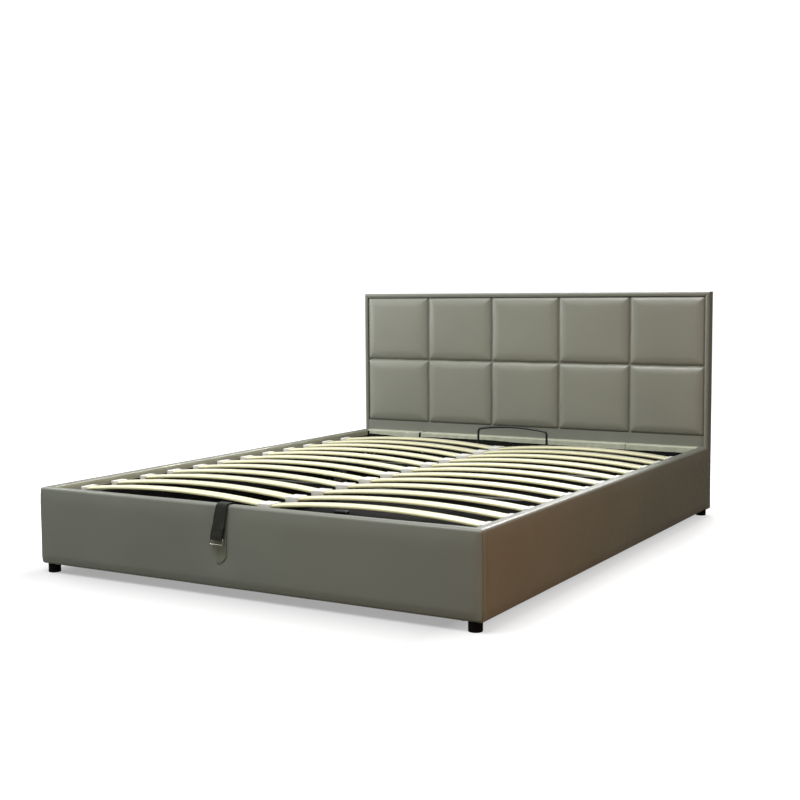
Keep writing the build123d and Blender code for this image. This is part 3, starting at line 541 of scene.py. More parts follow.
# Boards inside: mottled brown chips, yellow softwood, and black foil on the floor; the head rail's board is black as
# well, so that the ledge's gaps look dark: painted shade
CHIPBOARD = PressedBoard("raw_particle_board", Slot.BOARD, "a88b62", "7d6340", chip=(4 * MM, 4 * MM, 4 * MM))
SOFTWOOD = PressedBoard("sawn_pine", Slot.BATTEN, "d9b888", "b98f5c", chip=(9 * MM, 160 * MM, 9 * MM))
BLACK_FOIL_AND_GAP_SHADE = PressedBoard(
    "black_foiled_board", Slot.FLOOR_PANEL, "121210", "0e0e0d", chip=(40 * MM, 40 * MM, 40 * MM), roughness=0.6
)


# Meshes


def smoothed(mesh: Mesh) -> Mesh:
    """Shade a mesh smooth, but for its hard edges."""
    mesh.polygons.foreach_set("use_smooth", [True] * len(mesh.polygons))
    mesh.set_sharp_from_angle(angle=SHARP_ANGLE)
    return mesh


def object_from(name: str, shape: BMesh) -> Object:
    """Turn a finished bmesh into a smooth-shaded object in the scene.

    Args:
        name: The piece's name.
        shape: The geometry, which is freed.

    Returns:
        The new object, at the origin.
    """
    mesh = bpy.data.meshes.new(name)
    shape.to_mesh(mesh)
    shape.free()
    made = bpy.data.objects.new(name, smoothed(mesh))
    bpy.context.scene.collection.objects.link(made)
    return made


def settled(piece: Object) -> Object:
    """Turn a piece with live modifiers into a plain mesh.

    Args:
        piece: The piece to settle.

    Returns:
        The same object, with its evaluated mesh and no modifiers.
    """
    bpy.context.view_layer.update()
    graph = bpy.context.evaluated_depsgraph_get()
    mesh = bpy.data.meshes.new_from_object(piece.evaluated_get(graph), depsgraph=graph)
    mesh.name = piece.name
    piece.modifiers.clear()
    piece.data = smoothed(mesh)
    return piece


def thickened(piece: Object, thickness: float, way: float = -1.0) -> Object:
    """Give an open sheet its wall.

    Args:
        piece: The sheet.
        thickness: The wall in metres.
        way: -1 where the wall lies below the surface that shows, 1 where it lies on top.

    Returns:
        The same object, closed.
    """
    wall = piece.modifiers.new("wall", "SOLIDIFY")
    wall.thickness = thickness
    wall.offset = way
    return settled(piece)


def cut_away(piece: Object, shape: BMesh) -> None:
    """Cut a shape out of a piece.

    Args:
        piece: The piece.
        shape: What is cut out, which is freed.
    """
    tool = object_from("cutter", shape)
    cut = piece.modifiers.new("cut", "BOOLEAN")
    cut.operation = "DIFFERENCE"
    cut.object = tool
    settled(piece)
    bpy.data.objects.remove(tool)


def grid_shape(rows: Sequence[Sequence[Vector]], closed: bool = False) -> BMesh:
    """Join rows of points with quads.

    Args:
        rows: Rows with as many points each.
        closed: Whether each row runs round and meets itself.

    Returns:
        A bmesh of the surface.
    """
    shape = bmesh.new()
    made = [[shape.verts.new(point) for point in row] for row in rows]
    count = len(made[0])
    last = count if closed else count - 1
    for lower, upper in zip(made, made[1:]):
        for index in range(last):
            following = (index + 1) % count
            shape.faces.new((lower[index], lower[following], upper[following], upper[index]))
    return shape


def outward(shape: BMesh) -> BMesh:
    """Point every face of a closed shape outwards.

    Args:
        shape: The shape.

    Returns:
        The same shape.
    """
    bmesh.ops.recalc_face_normals(shape, faces=shape.faces)
    if shape.calc_volume(signed=True) < 0:
        bmesh.ops.reverse_faces(shape, faces=shape.faces)
    return shape


def rounded_box(
    low: Vector, high: Vector, radius: float, rounds: Callable[[BMEdge], bool], segments: int = 5
) -> BMesh:
    """A box with some of its edges rounded.

    Args:
        low: Lowest corner.
        high: Highest corner.
        radius: The rounding's radius.
        rounds: Says whether an edge of the plain box is rounded.
        segments: Facets in each quarter turn.

    Returns:
        The box.
    """
    shape = bmesh.new()
    size = Matrix.Diagonal((*(high - low), 1.0))
    bmesh.ops.create_cube(shape, size=1.0, matrix=Matrix.Translation((low + high) / 2) @ size)
    chosen = [edge for edge in shape.edges if rounds(edge)]
    bmesh.ops.bevel(
        shape, geom=chosen, offset=radius, segments=segments, profile=0.5, affect="EDGES", clamp_overlap=True
    )
    return shape


def slice_shape(shape: BMesh, axis: int, places: Iterable[float]) -> None:
    """Cut rows of edges into a shape, square to one axis.

    Args:
        shape: The shape.
        axis: 0, 1 or 2 for X, Y or Z.
        places: Where the cuts lie along that axis.
    """
    normal = Vector((0, 0, 0))
    normal[axis] = 1.0
    for place in places:
        everything = [*shape.verts, *shape.edges, *shape.faces]
        bmesh.ops.bisect_plane(shape, geom=everything, dist=WELD, plane_co=normal * place, plane_no=normal)


def remove_faces(shape: BMesh, unwanted: Callable[[Vector, Vector], bool]) -> None:
    """Take faces out of a shape.

    Args:
        shape: The shape.
        unwanted: Says of a face's middle and normal whether it goes.
    """
    shape.normal_update()
    gone = [face for face in shape.faces if unwanted(face.calc_center_median(), face.normal)]
    bmesh.ops.delete(shape, geom=gone, context="FACES")


def span(edge: BMEdge, axis: int) -> float:
    """How far an edge reaches along an axis."""
    return abs(edge.verts[0].co[axis] - edge.verts[1].co[axis])


def seam_cut(shape: BMesh, chosen: Callable[[Vector], bool], at: Vector, normal: Vector) -> None:
    """Cut the edges of a straight seam into some faces of a shape.

    Args:
        shape: The shape.
        chosen: Says of a face's middle whether the seam may cross it.
        at: A point of the seam's plane.
        normal: The plane's normal.
    """
    faces = [face for face in shape.faces if chosen(face.calc_center_median())]
    parts = {part for face in faces for part in (face, *face.edges, *face.verts)}
    bmesh.ops.bisect_plane(shape, geom=list(parts), dist=WELD, plane_co=at, plane_no=normal)


def sprung(shape: BMesh, rim: list[BMEdge]) -> tuple[list[BMVert], list[BMEdge]]:
    """Grow a strip of faces from the rim of a sheet.

    Args:
        shape: The sheet.
        rim: The edges that it grows from.

    Returns:
        The strip's new points, which still lie on the rim, and its new rim.
    """
    made = bmesh.ops.extrude_edge_only(shape, edges=rim)["geom"]
    fresh = [item for item in made if isinstance(item, BMVert)]
    known = set(fresh)
    return fresh, [item for item in made if isinstance(item, BMEdge) and known.issuperset(item.verts)]


def face_sheet(shape: BMesh, farthest: Vector, way: Vector) -> None:
    """Turn an open sheet over if it looks the wrong way.

    Args:
        shape: The sheet.
        farthest: The direction in which the face that is judged lies farthest.
        way: The direction that this face has to look in.
    """
    shape.normal_update()
    judged = max(shape.faces, key=lambda face: face.calc_center_median().dot(farthest))
    if judged.normal.dot(way) < 0:
        bmesh.ops.reverse_faces(shape, faces=shape.faces)


def soften(shape: BMesh, depth: float, size: float, seed: float) -> None:
    """Let the foam under a cover give, so that its faces aren't dead flat.

    Args:
        shape: The cover.
        depth: How far a face gives at most.
        size: The width of a dip.
        seed: Which noise it is.
    """
    shape.normal_update()
    for vert in shape.verts:
        vert.co -= vert.normal * depth * (0.5 + 0.5 * ripple(vert.co, size, seed))


def place_piece(piece: Object, finish: Finish, body: Body, *replaced: str) -> None:
    """Dress a finished piece and let it ride on its body.

    Args:
        piece: The piece.
        finish: What it is made of.
        body: The body that it moves with.
        replaced: The CAD nodes that it stands for.
    """
    piece.data.materials.clear()
    piece.data.materials.append(finish.material())
    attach(piece, body.value)
    if replaced:
        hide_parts(*replaced)
    LOG.info("%s: %d faces, on %s", piece.name, len(piece.data.polygons), body.value)


def dress_nodes(finish: Finish, *nodes: str) -> None:
    """Give CAD nodes that stay their finish.

    Args:
        finish: What they are made of.
        nodes: Their names.
    """
    for node in nodes:
        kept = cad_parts[node]
        kept.data.materials.clear()
        kept.data.materials.append(finish.material())
        LOG.info("%s: kept, in %s", node, finish.name)


# Geometry Nodes


class Input(Enum):
    """Types of named inputs of a Geometry Nodes tree."""

    LENGTH = "NodeSocketFloat"
    COUNT = "NodeSocketInt"
    PLACE = "NodeSocketVector"
    OBJECT = "NodeSocketObject"
    MATERIAL = "NodeSocketMaterial"


@dataclass
class Pattern:
    """A Geometry Nodes tree that makes what repeats, and the mesh that it grows."""

    name: str
    inputs: dict[str, Input]

    def __post_init__(self) -> None:
        """Start the tree with its named inputs."""
        self.tree = bpy.data.node_groups.new(self.name, "GeometryNodeTree")
        for name, kind in {"Geometry": None, **self.inputs}.items():
            socket_type = kind.value if kind else "NodeSocketGeometry"
            self.tree.interface.new_socket(name=name, in_out="INPUT", socket_type=socket_type)
        self.tree.interface.new_socket(name="Geometry", in_out="OUTPUT", socket_type="NodeSocketGeometry")
        self.given = add_node(self.tree, "NodeGroupInput")

    def size(self, name: str) -> NodeSocket:
        """Return the socket of a named input."""
        return self.given.outputs[name]

    def add(
        self, kind: str, settings: dict[str, Any] | None = None, inputs: dict[str | int, Any] | None = None
    ) -> Node:
        """Add a node to this tree."""
        return add_node(self.tree, kind, settings, inputs)

    def times(self, name: str, factor: float) -> NodeSocket:
        """Return a named input times a number."""
        return self.add("ShaderNodeMath", {"operation": "MULTIPLY"}, {0: self.size(name), 1: factor}).outputs[0]

    def vector(self, **parts: NodeSocket) -> NodeSocket:
        """Return a vector of the given parts, with 0 for the others."""
        return self.add("ShaderNodeCombineXYZ", inputs=parts).outputs[0]

    def end(self, instances: NodeSocket) -> None:
        """Close the tree: real geometry with its material.

        Args:
            instances: What the tree has grown.
        """
        real = self.add("GeometryNodeRealizeInstances", inputs={"Geometry": instances})
        dressed = self.add(
            "GeometryNodeSetMaterial",
            inputs={"Geometry": real.outputs["Geometry"], "Material": self.size("Material")},
        )
        self.add("NodeGroupOutput", inputs={"Geometry": dressed.outputs["Geometry"]})

    def grow(self, name: str, values: dict[str, Any], start: Mesh | None = None) -> Object:
        """Run the tree and keep its result as a plain mesh.

        Args:
            name: The piece's name.
            values: What the named inputs are set to.
            start: The mesh that the tree works on, if it needs one.

        Returns:
            The piece, with no modifier left.
        """
        piece = bpy.data.objects.new(name, start or bpy.data.meshes.new(name))
        bpy.context.scene.collection.objects.link(piece)
        modifier = piece.modifiers.new("pattern", "NODES")
        modifier.node_group = self.tree
        for item in self.tree.interface.items_tree:
            if item.in_out == "INPUT" and item.name in values:
                modifier[item.identifier] = values[item.name]
        return settled(piece)


def slat_pattern() -> Pattern:
    """The tree of bent slats: one arched slat with rounded edges, repeated in rows.

    Returns:
        The tree.
    """
    lengths = ("Pitch", "Length", "Rise", "Width", "Thickness", "Edge", "Wander")
    made = Pattern("bent_slat_rows", {
        "Rows": Input.COUNT, "First": Input.PLACE, **dict.fromkeys(lengths, Input.LENGTH),
        "Seed": Input.COUNT, "Material": Input.MATERIAL,
    })
    arch = made.add("GeometryNodeCurveQuadraticBezier", inputs={
        "Resolution": 40, "Start": made.vector(X=made.times("Length", -0.5)),
        "Middle": made.vector(Z=made.times("Rise", 2.0)), "End": made.vector(X=made.times("Length", 0.5)),
    })
    upright = made.add("GeometryNodeSetCurveNormal", {"mode": "Z_UP"}, {"Curve": arch.outputs["Curve"]})
    section = made.add(
        "GeometryNodeCurvePrimitiveQuadrilateral",
        inputs={"Width": made.size("Width"), "Height": made.size("Thickness")},
    )
    eased = made.add(
        "GeometryNodeFilletCurve", {"mode": "POLY"},
        {"Curve": section.outputs["Curve"], "Count": 3, "Radius": made.size("Edge")},
    )
    slat = made.add(
        "GeometryNodeCurveToMesh",
        inputs={"Curve": upright.outputs["Curve"], "Profile Curve": eased.outputs["Curve"], "Fill Caps": True},
    )
    line = made.add("GeometryNodeMeshLine", inputs={
        "Count": made.size("Rows"), "Start Location": made.size("First"), "Offset": made.vector(Y=made.size("Pitch")),
    })
    shift = made.add(
        "FunctionNodeRandomValue", {"data_type": "FLOAT"},
        {"Min": made.times("Wander", -1.0), "Max": made.size("Wander"), "Seed": made.size("Seed")},
    )
    moved = made.add(
        "GeometryNodeSetPosition",
        inputs={"Geometry": line.outputs["Mesh"], "Offset": made.vector(Y=shift.outputs["Value"])},
    )
    rows = made.add(
        "GeometryNodeInstanceOnPoints",
        inputs={"Points": moved.outputs["Geometry"], "Instance": slat.outputs["Mesh"]},
    )
    made.end(rows.outputs["Instances"])
    return made


def scatter_pattern() -> Pattern:
    """The tree of small pieces set on points, each turned to the directions that its point holds.

    Returns:
        The tree.
    """
    made = Pattern("pieces_on_points", {"Piece": Input.OBJECT, "Material": Input.MATERIAL})
    piece = made.add("GeometryNodeObjectInfo", {"transform_space": "ORIGINAL"}, {"Object": made.size("Piece")})
    facing, along = (
        made.add("GeometryNodeInputNamedAttribute", {"data_type": "FLOAT_VECTOR"}, {"Name": name})
        for name in ("facing", "along")
    )
    upright = made.add(
        "FunctionNodeAxesToRotation", {"primary_axis": "Z", "secondary_axis": "X"},
        {"Primary Axis": facing.outputs["Attribute"], "Secondary Axis": along.outputs["Attribute"]},
    )
    placed = made.add("GeometryNodeInstanceOnPoints", inputs={
        "Points": made.size("Geometry"), "Instance": piece.outputs["Geometry"],
        "Rotation": upright.outputs["Rotation"],
    })
    made.end(placed.outputs["Instances"])
    return made


@dataclass
class Spot:
    """A place for a small piece: where it sits, which way it faces and which way it lies."""

    at: Vector
    facing: Vector
    along: Vector


class Scatter:
    """Sets copies of one small piece on chosen spots."""

    pattern: Pattern | None = None

    @classmethod
    def place(
        cls, name: str, template: Object, spots: Sequence[Spot], finish: Finish, body: Body, *replaced: str
    ) -> None:
        """Grow one mesh with a copy of the template on each spot, and place it.

        Args:
            name: The piece's name.
            template: The small piece at the origin, facing +Z, which is removed afterwards.
            spots: Where the copies go.
            finish: What they are made of.
            body: The body that they move with.
            replaced: The CAD nodes that they stand for.
        """
        if cls.pattern is None:
            cls.pattern = scatter_pattern()
        start = bpy.data.meshes.new(name)
        start.from_pydata([spot.at for spot in spots], [], [])
        for attribute in ("facing", "along"):
            stored = start.attributes.new(attribute, "FLOAT_VECTOR", "POINT")
            stored.data.foreach_set("vector", [value for spot in spots for value in getattr(spot, attribute)])
        piece = cls.pattern.grow(name, {"Piece": template, "Material": finish.material()}, start)
        bpy.data.objects.remove(template)
        place_piece(piece, finish, body, *replaced)


# Small pieces


def lathe(
    profile: Sequence[tuple[float, float]], segments: int, sides: Sequence[int] | None = None
) -> BMesh:
    """Turn a profile round Z into a closed shape.

    Args:
        profile: Radii and heights from one pole to the other; radius 0 is a pole.
        segments: Facets round the axis.
        sides: For each ring, 0 where it is round, or the number of flats where it is a polygon.

    Returns:
        The shape, pointing outwards.
    """
    shape = bmesh.new()
    rings = []
    for index, (radius, height) in enumerate(profile):
        flats = sides[index] if sides else 0
        if radius == 0:
            rings.append([shape.verts.new((0, 0, height))])
            continue
        ring = []
        for segment in range(segments):
            angle = math.tau * segment / segments
            reach = radius
            if flats:
                share = angle % (math.tau / flats) - math.pi / flats
                reach = radius * math.cos(math.pi / flats) / math.cos(share)
            ring.append(shape.verts.new((reach * math.cos(angle), reach * math.sin(angle), height)))
        rings.append(ring)
    for lower, upper in zip(rings, rings[1:]):
        for index in range(segments):
            following = (index + 1) % segments
            corners = [lower[index % len(lower)], lower[following % len(lower)]]
            corners += [upper[following % len(upper)], upper[index % len(upper)]]
            unique = list(dict.fromkeys(corners))
            if len(unique) > 2:
                shape.faces.new(unique)
    return outward(shape)


def socket_head(radius: float, height: float, key: float) -> Object:
    """Button head of a socket screw, domed, with a hexagon recess.

    Args:
        radius: Radius of the head.
        height: Height of the head.
        key: Radius of the recess across its corners.

    Returns:
        The head, its seat at z 0.
    """
    profile = (
        (0, 0), (radius, 0), (radius, height * 0.35), (radius * 0.93, height * 0.62), (radius * 0.78, height * 0.85),
        (key * 1.3, height), (key, height), (key, height * 0.35), (0, height * 0.3),
    )
    sides = (0, 0, 0, 0, 0, 0, 6, 6, 0)
    return object_from("socket_head_template", lathe(profile, 24, sides))


def cross_head(radius: float, height: float) -> Object:
    """Pan head of a small screw with a cross recess.

    Args:
        radius: Radius of the head.
        height: Height of the head.

    Returns:
        The head, its seat at z 0.
    """
    profile = ((0, 0), (radius, 0), (radius, height * 0.4), (radius * 0.8, height * 0.8), (radius * 0.4, height))
    template = object_from("cross_head_template", lathe((*profile, (0, height)), 16))
    for angle in (0, QUARTER):
        bar = bmesh.new()
        size = Matrix.Diagonal((radius * 1.1, radius * 0.26, height * 0.8, 1.0))
        turn = Matrix.Rotation(angle, 4, "Z")
        bmesh.ops.create_cube(bar, size=1.0, matrix=Matrix.Translation((0, 0, height)) @ turn @ size)
        cut_away(template, bar)
    return template


def staple(width: float, wire: float) -> Object:
    """Crown of a staple: a flat wire whose ends bend down into the cloth."""
    low, high = Vector((-width / 2, -wire / 2, 0)), Vector((width / 2, wire / 2, wire))
    return object_from("staple_template", rounded_box(low, high, wire * 0.35, lambda edge: span(edge, 0) > wire, 2))


def stitch(length: float, wire: float) -> Object:
    """One stitch: thread that dips into the cloth at both ends.

    Args:
        length: Its length.
        wire: The thread's thickness.

    Returns:
        The stitch, lying along X.
    """
    rows = []
    for index in range(7):
        share = index / 6
        middle = Vector((length * (share - 0.5), 0, wire * (1.2 * math.sin(math.pi * share) - 0.6)))
        girth = wire * (0.5 if 0 < index < 6 else 0.3)
        rows.append([
            middle + Vector((0, girth * math.cos(turn), girth * math.sin(turn)))
            for turn in (math.tau * side / 6 for side in range(6))
        ])
    shape = grid_shape(rows, closed=True)
    bmesh.ops.holes_fill(shape, edges=shape.edges)
    return object_from("stitch_template", outward(shape))


# Headboard


@dataclass
class PaddedPanel:
    """One sewn panel of the headboard: leatherette blown tight over foam."""

    node: str
    seed: float
    step: float = 6.5 * MM
    bunch_share: float = 0.45
    round_width: float = 38 * MM
    round_power: float = 2.2
    crown_share: float = 0.6
    corner: float = 11 * MM
    under: float = 2.5 * MM
    give: float = 2.6 * MM
    seam_gap: float = 0.8 * MM
    seam_grip: float = 2 * MM
    seam_hold: float = 12 * MM
    seam_rise: float = 3 * MM
    even_rounds: int = 6
    pucker: float = 1.3 * MM
    pucker_reach: float = 16 * MM
    pucker_size: float = 15 * MM
    swell: float = 0.35 * MM
    swell_size: float = 110 * MM
    drift: float = 1.9 * MM
    drift_size: float = 75 * MM
    drift_length: float = 500 * MM
    field_fade: float = 60 * MM

    def __post_init__(self) -> None:
        """Take the panel's space from its CAD node."""
        self.low, self.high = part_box(self.node)
        self.field_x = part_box("headboard_pad_05")[1].x
        self.field_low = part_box("headboard_pad_06")[0].z
        self.field_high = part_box("headboard_pad_01")[1].z
        self.middle = (self.low + self.high) / 2
        self.half_x = (self.high.x - self.low.x) / 2 - self.seam_gap
        self.half_z = (self.high.z - self.low.z) / 2 - self.seam_gap
        self.depth = self.high.y - self.low.y

    def depth_at(self, x: float, z: float) -> float:
        """How far the foam stands out at a place on the panel.

        Args:
            x: The place across, from the panel's middle.
            z: The place upwards, from the panel's middle.

        Returns:
            How far in front of the panel's back it lies.
        """
        share = unit(min(self.half_x - abs(x), self.half_z - abs(z)) / self.round_width)
        crown = (1 - (x / self.half_x) ** 2) * (1 - (z / self.half_z) ** 2)
        dome = math.sqrt(max(0.0, 1 - (1 - share) ** self.round_power))
        return (self.depth - self.under) * dome + self.crown_share * self.under * crown

    def inset(self, point: Vector) -> float:
        """How far inside the panel's seams a point lies."""
        return min(self.half_x - abs(point.x - self.middle.x), self.half_z - abs(point.z - self.middle.z))

    def start(self) -> Object:
        """The panel before it is blown up: a rounded front, drawn-in sides and a flat back.

        Returns:
            The panel.
        """
        def places(half: float) -> list[float]:
            """Places from -half to half, closer together at both ends."""
            count = 2 * round(half / self.step)
            shares = (2 * index / count - 1 for index in range(count + 1))
            bunch = self.bunch_share
            return [half * ((1 - bunch) * share + bunch * math.sin(share * QUARTER)) for share in shares]

        rows = []
        for z in places(self.half_z):
            row = []
            for x in places(self.half_x):
                across = max(0.0, abs(x) - (self.half_x - self.corner)) / self.corner
                up = max(0.0, abs(z) - (self.half_z - self.corner)) / self.corner
                cut_x = self.corner * across * (1 - math.sqrt(1 - up * up / 2))
                cut_z = self.corner * up * (1 - math.sqrt(1 - across * across / 2))
                at_x = math.copysign(abs(x) - cut_x, x)
                at_z = math.copysign(abs(z) - cut_z, z)
                y = self.high.y - self.depth_at(x, z)
                row.append(Vector((self.middle.x + at_x, y, self.middle.z + at_z)))
            rows.append(row)
        shape = grid_shape(rows)
        bmesh.ops.holes_fill(shape, edges=[edge for edge in shape.edges if edge.is_boundary])
        return object_from(self.node.replace("headboard_pad", "padded_panel"), outward(shape))

    def wander(self, vert: MeshVertex) -> None:
        """Move a point with the seams, which are sewn by hand and not quite straight.

        Args:
            vert: The point, which two panels beside one seam move alike.
        """
        x, z = vert.co.x, vert.co.z
        inner = min(self.field_x - abs(x), z - self.field_low, self.field_high - z)
        free = self.drift * unit(inner / self.field_fade)
        vert.co.x += free * noise_at(x / self.drift_length, 4.0, z / self.drift_size)
        vert.co.z += free * noise_at(x / self.drift_size, 9.0, z / self.drift_length)

    def blow_up(self, panel: Object) -> list[Vector]:
        """Add the cloth, pinned along its seam and under air pressure.

        Args:
            panel: The panel at rest.

        Returns:
            Where its points lie at rest.
        """
        resting = [vert.co.copy() for vert in panel.data.vertices]
        pins = panel.vertex_groups.new(name="seam")
        for index, point in enumerate(resting):
            pins.add([index], 1.0 - unit((self.inset(point) - self.seam_grip) / self.seam_hold), "REPLACE")
        cloth = panel.modifiers.new("cloth", "CLOTH").settings
        cloth.quality = 6
        cloth.mass = 0.25
        cloth.tension_stiffness = 18
        cloth.compression_stiffness = 18
        cloth.shear_stiffness = 8
        cloth.bending_stiffness = 1.5
        cloth.air_damping = 3
        cloth.vertex_group_mass = "seam"
        cloth.use_pressure = True
        cloth.uniform_pressure_force = 4.0
        cloth.effector_weights.gravity = 0.0
        return resting

    def evened(self, panel: Object, resting: list[Vector]) -> list[Vector]:
        """How far each point was blown, averaged with its neighbours so that no sharp fold stays.

        Args:
            panel: The blown panel.
            resting: Where its points lay before.

        Returns:
            The moves, none longer than the panel gives and none at its seam.
        """
        moves = [vert.co - before for vert, before in zip(panel.data.vertices, resting)]
        for _ in range(self.even_rounds):
            sums = [move.copy() for move in moves]
            counts = [1] * len(moves)
            for edge in panel.data.edges:
                one, two = edge.vertices
                sums[one] += moves[two]
                sums[two] += moves[one]
                counts[one] += 1
                counts[two] += 1
            moves = [total / count for total, count in zip(sums, counts)]
        for move, before in zip(moves, resting):
            move *= unit(self.inset(before) / self.seam_hold) * self.give / (self.give + move.length)
        return moves

    def settle(self, panel: Object, resting: list[Vector] | None) -> None:
        """Keep the blown shape within its cap, then gather the leatherette along the seams.

        Args:
            panel: The panel, with or without live cloth.
            resting: Where its points lay before, if it was blown up.
        """
        settled(panel)
        moves = self.evened(panel, resting) if resting else []
        for index, vert in enumerate(panel.data.vertices):
            if resting:
                vert.co = resting[index] + moves[index]
            x = vert.co.x - self.middle.x
            z = vert.co.z - self.middle.z
            gather = 0.0
            for edge, run, number in (
                (self.half_x - x, z, 1), (self.half_x + x, z, 2), (self.half_z - z, x, 3), (self.half_z + z, x, 4),
            ):
                fade = math.exp(-max(edge, 0.0) / self.pucker_reach) * unit(edge / self.seam_rise)
                wave = noise_at(run / self.pucker_size, edge / (3 * self.pucker_size), self.seed + number)
                gather += fade * max(0.0, wave)
            if vert.co.y < self.high.y - MM:
                swell = noise_at(x / self.swell_size, z / self.swell_size, self.seed)
                vert.co.y += self.pucker * gather + self.swell * swell
            self.wander(vert)
        panel.data.update()


@dataclass
class Headboard:
    """The headboard: sewn panels in a rolled border, plain band below, lined back."""

    skin: float = 1.4 * MM
    radius: float = 5 * MM
    step: float = 24 * MM
    recess: float = 12 * MM
    roll: float = 3.2 * MM
    roll_share: float = 0.95
    sunk_share: float = 0.4
    seam: float = 1.4 * MM
    seam_half: float = 0.3 * MM
    back_wrap: float = 40 * MM
    rib_shares: tuple[float, ...] = (0.12, 0.3, 0.5, 0.72)
    pad_gap: float = 0.3 * MM
    pads: int = 10
    frames: int = 20
    lining_step: float = 30 * MM
    lining_fade: float = 60 * MM
    lining_wall: float = 0.5 * MM
    slack: float = 0.9 * MM
    slack_size: float = 160 * MM
    staple_pitch: float = 62 * MM
    staple_width: float = 11 * MM
    staple_wire: float = 1.2 * MM
    staple_inset: float = 7 * MM

    def __post_init__(self) -> None:
        """Take the headboard's sizes from its CAD nodes."""
        self.low, self.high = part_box("headboard_cover")
        corners = [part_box(f"headboard_pad_{number:02d}") for number in range(1, self.pads + 1)]
        self.pads_x = max(corner[1].x for corner in corners) + self.pad_gap
        self.pads_low = min(corner[0].z for corner in corners) - self.pad_gap
        self.pads_high = max(corner[1].z for corner in corners) + self.pad_gap
        self.rail_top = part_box("side_rail_cover_right")[1].z

    def build(self) -> None:
        """Make every piece of the headboard."""
        self.panels()
        self.cover()
        self.lining()
        dress_nodes(CHIPBOARD, "headboard_board")

    def panels(self) -> None:
        """Blow up all the panels together, then finish each."""
        makers = [PaddedPanel(f"headboard_pad_{number:02d}", 3.7 * number) for number in range(1, self.pads + 1)]
        panels = [maker.start() for maker in makers]
        resting: list[list[Vector] | None] = [None] * self.pads
        resting = [maker.blow_up(panel) for maker, panel in zip(makers, panels)]
        for number in range(1, self.frames + 1):
            bpy.context.scene.frame_set(number)
        for maker, panel, before in zip(makers, panels, resting):
            maker.settle(panel, before)
            # The panels get the lighter copy of the leatherette: painted light.
            place_piece(panel, PAD_LEATHERETTE, Body.BASE, maker.node)

    def cover(self) -> None:
        """Border, plain band, sides, top and back wrap as one leatherette skin."""
        low, high = self.low, self.high
        shape = rounded_box(
            low, high, self.radius,
            lambda edge: span(edge, 1) < MM and edge.verts[0].co.z + edge.verts[1].co.z > 2 * (low.z + MM),
        )
        ribs = [self.pads_x + (high.x - self.pads_x) * share for share in self.rib_shares]
        window_x = high.x - self.back_wrap
        both = [*ribs, 2 * MM - self.pads_x, window_x]
        slice_shape(shape, 0, [*spread(-self.pads_x, self.pads_x, self.step), *both, *(-place for place in both)])
        tops = [self.pads_high + (high.z - self.pads_high) * share for share in self.rib_shares]
        slice_shape(shape, 2, spread(self.rail_top, self.pads_high, self.step))
        slice_shape(shape, 2, [*tops, self.pads_low, low.z + self.back_wrap, high.z - self.back_wrap])
        self.mitres(shape)
        remove_faces(
            shape,
            lambda middle, normal: normal.y < -0.9 and abs(middle.x) < self.pads_x
            and self.pads_low < middle.z < self.pads_high,
        )
        remove_faces(
            shape,
            lambda middle, normal: normal.y > 0.9 and abs(middle.x) < window_x
            and low.z + self.back_wrap < middle.z < high.z - self.back_wrap,
        )
        self.roll_border(shape)
        self.recess_walls(shape)
        cover = thickened(object_from("headboard_upholstery", shape), self.skin)
        place_piece(cover, RAIL_LEATHERETTE, Body.BASE, "headboard_cover")

    def mitres(self, shape: BMesh) -> None:
        """Cut the slanted seams of the border into its two top corners.

        Args:
            shape: The cover.
        """
        for side in Side:
            seam_cut(
                shape,
                lambda at: side.value * at.x > self.pads_x and at.z > self.pads_high and at.y < self.low.y + MM,
                Vector((side.value * self.high.x, 0, self.high.z)), Vector((-side.value, 0, 1)).normalized(),
            )

    def roll_border(self, shape: BMesh) -> None:
        """Round the border's front into a roll, with sewn grooves beside and across it.

        Args:
            shape: The cover.
        """
        strip = self.high.x - self.pads_x
        for vert in shape.verts:
            point = vert.co
            if point.y > self.low.y + 0.5 * MM:
                continue
            beside = abs(point.x) - self.pads_x
            above = point.z - self.pads_high
            if beside <= -3 * MM and above <= 0:
                continue
            across = max(beside, above) / strip
            if 0 <= across < self.roll_share:
                point.y -= self.roll * (1 - (2 * across / self.roll_share - 1) ** 2 - self.sunk_share)
            mitred = beside > 0 and above > 0 and abs(beside - above) < self.seam_half
            if mitred or abs(beside) < self.seam_half and above < 0:
                point.y += self.seam

    def recess_walls(self, shape: BMesh) -> None:
        """Carry the skin into the recess behind the panels.

        Args:
            shape: The cover.
        """
        rim = [
            edge for edge in shape.edges
            if edge.is_boundary and all(vert.co.y < self.low.y + 4 * MM for vert in edge.verts)
        ]
        deep, loop = sprung(shape, rim)
        for vert in deep:
            vert.co.y = self.low.y + self.recess - 2 * MM
        bmesh.ops.contextual_create(shape, geom=loop)

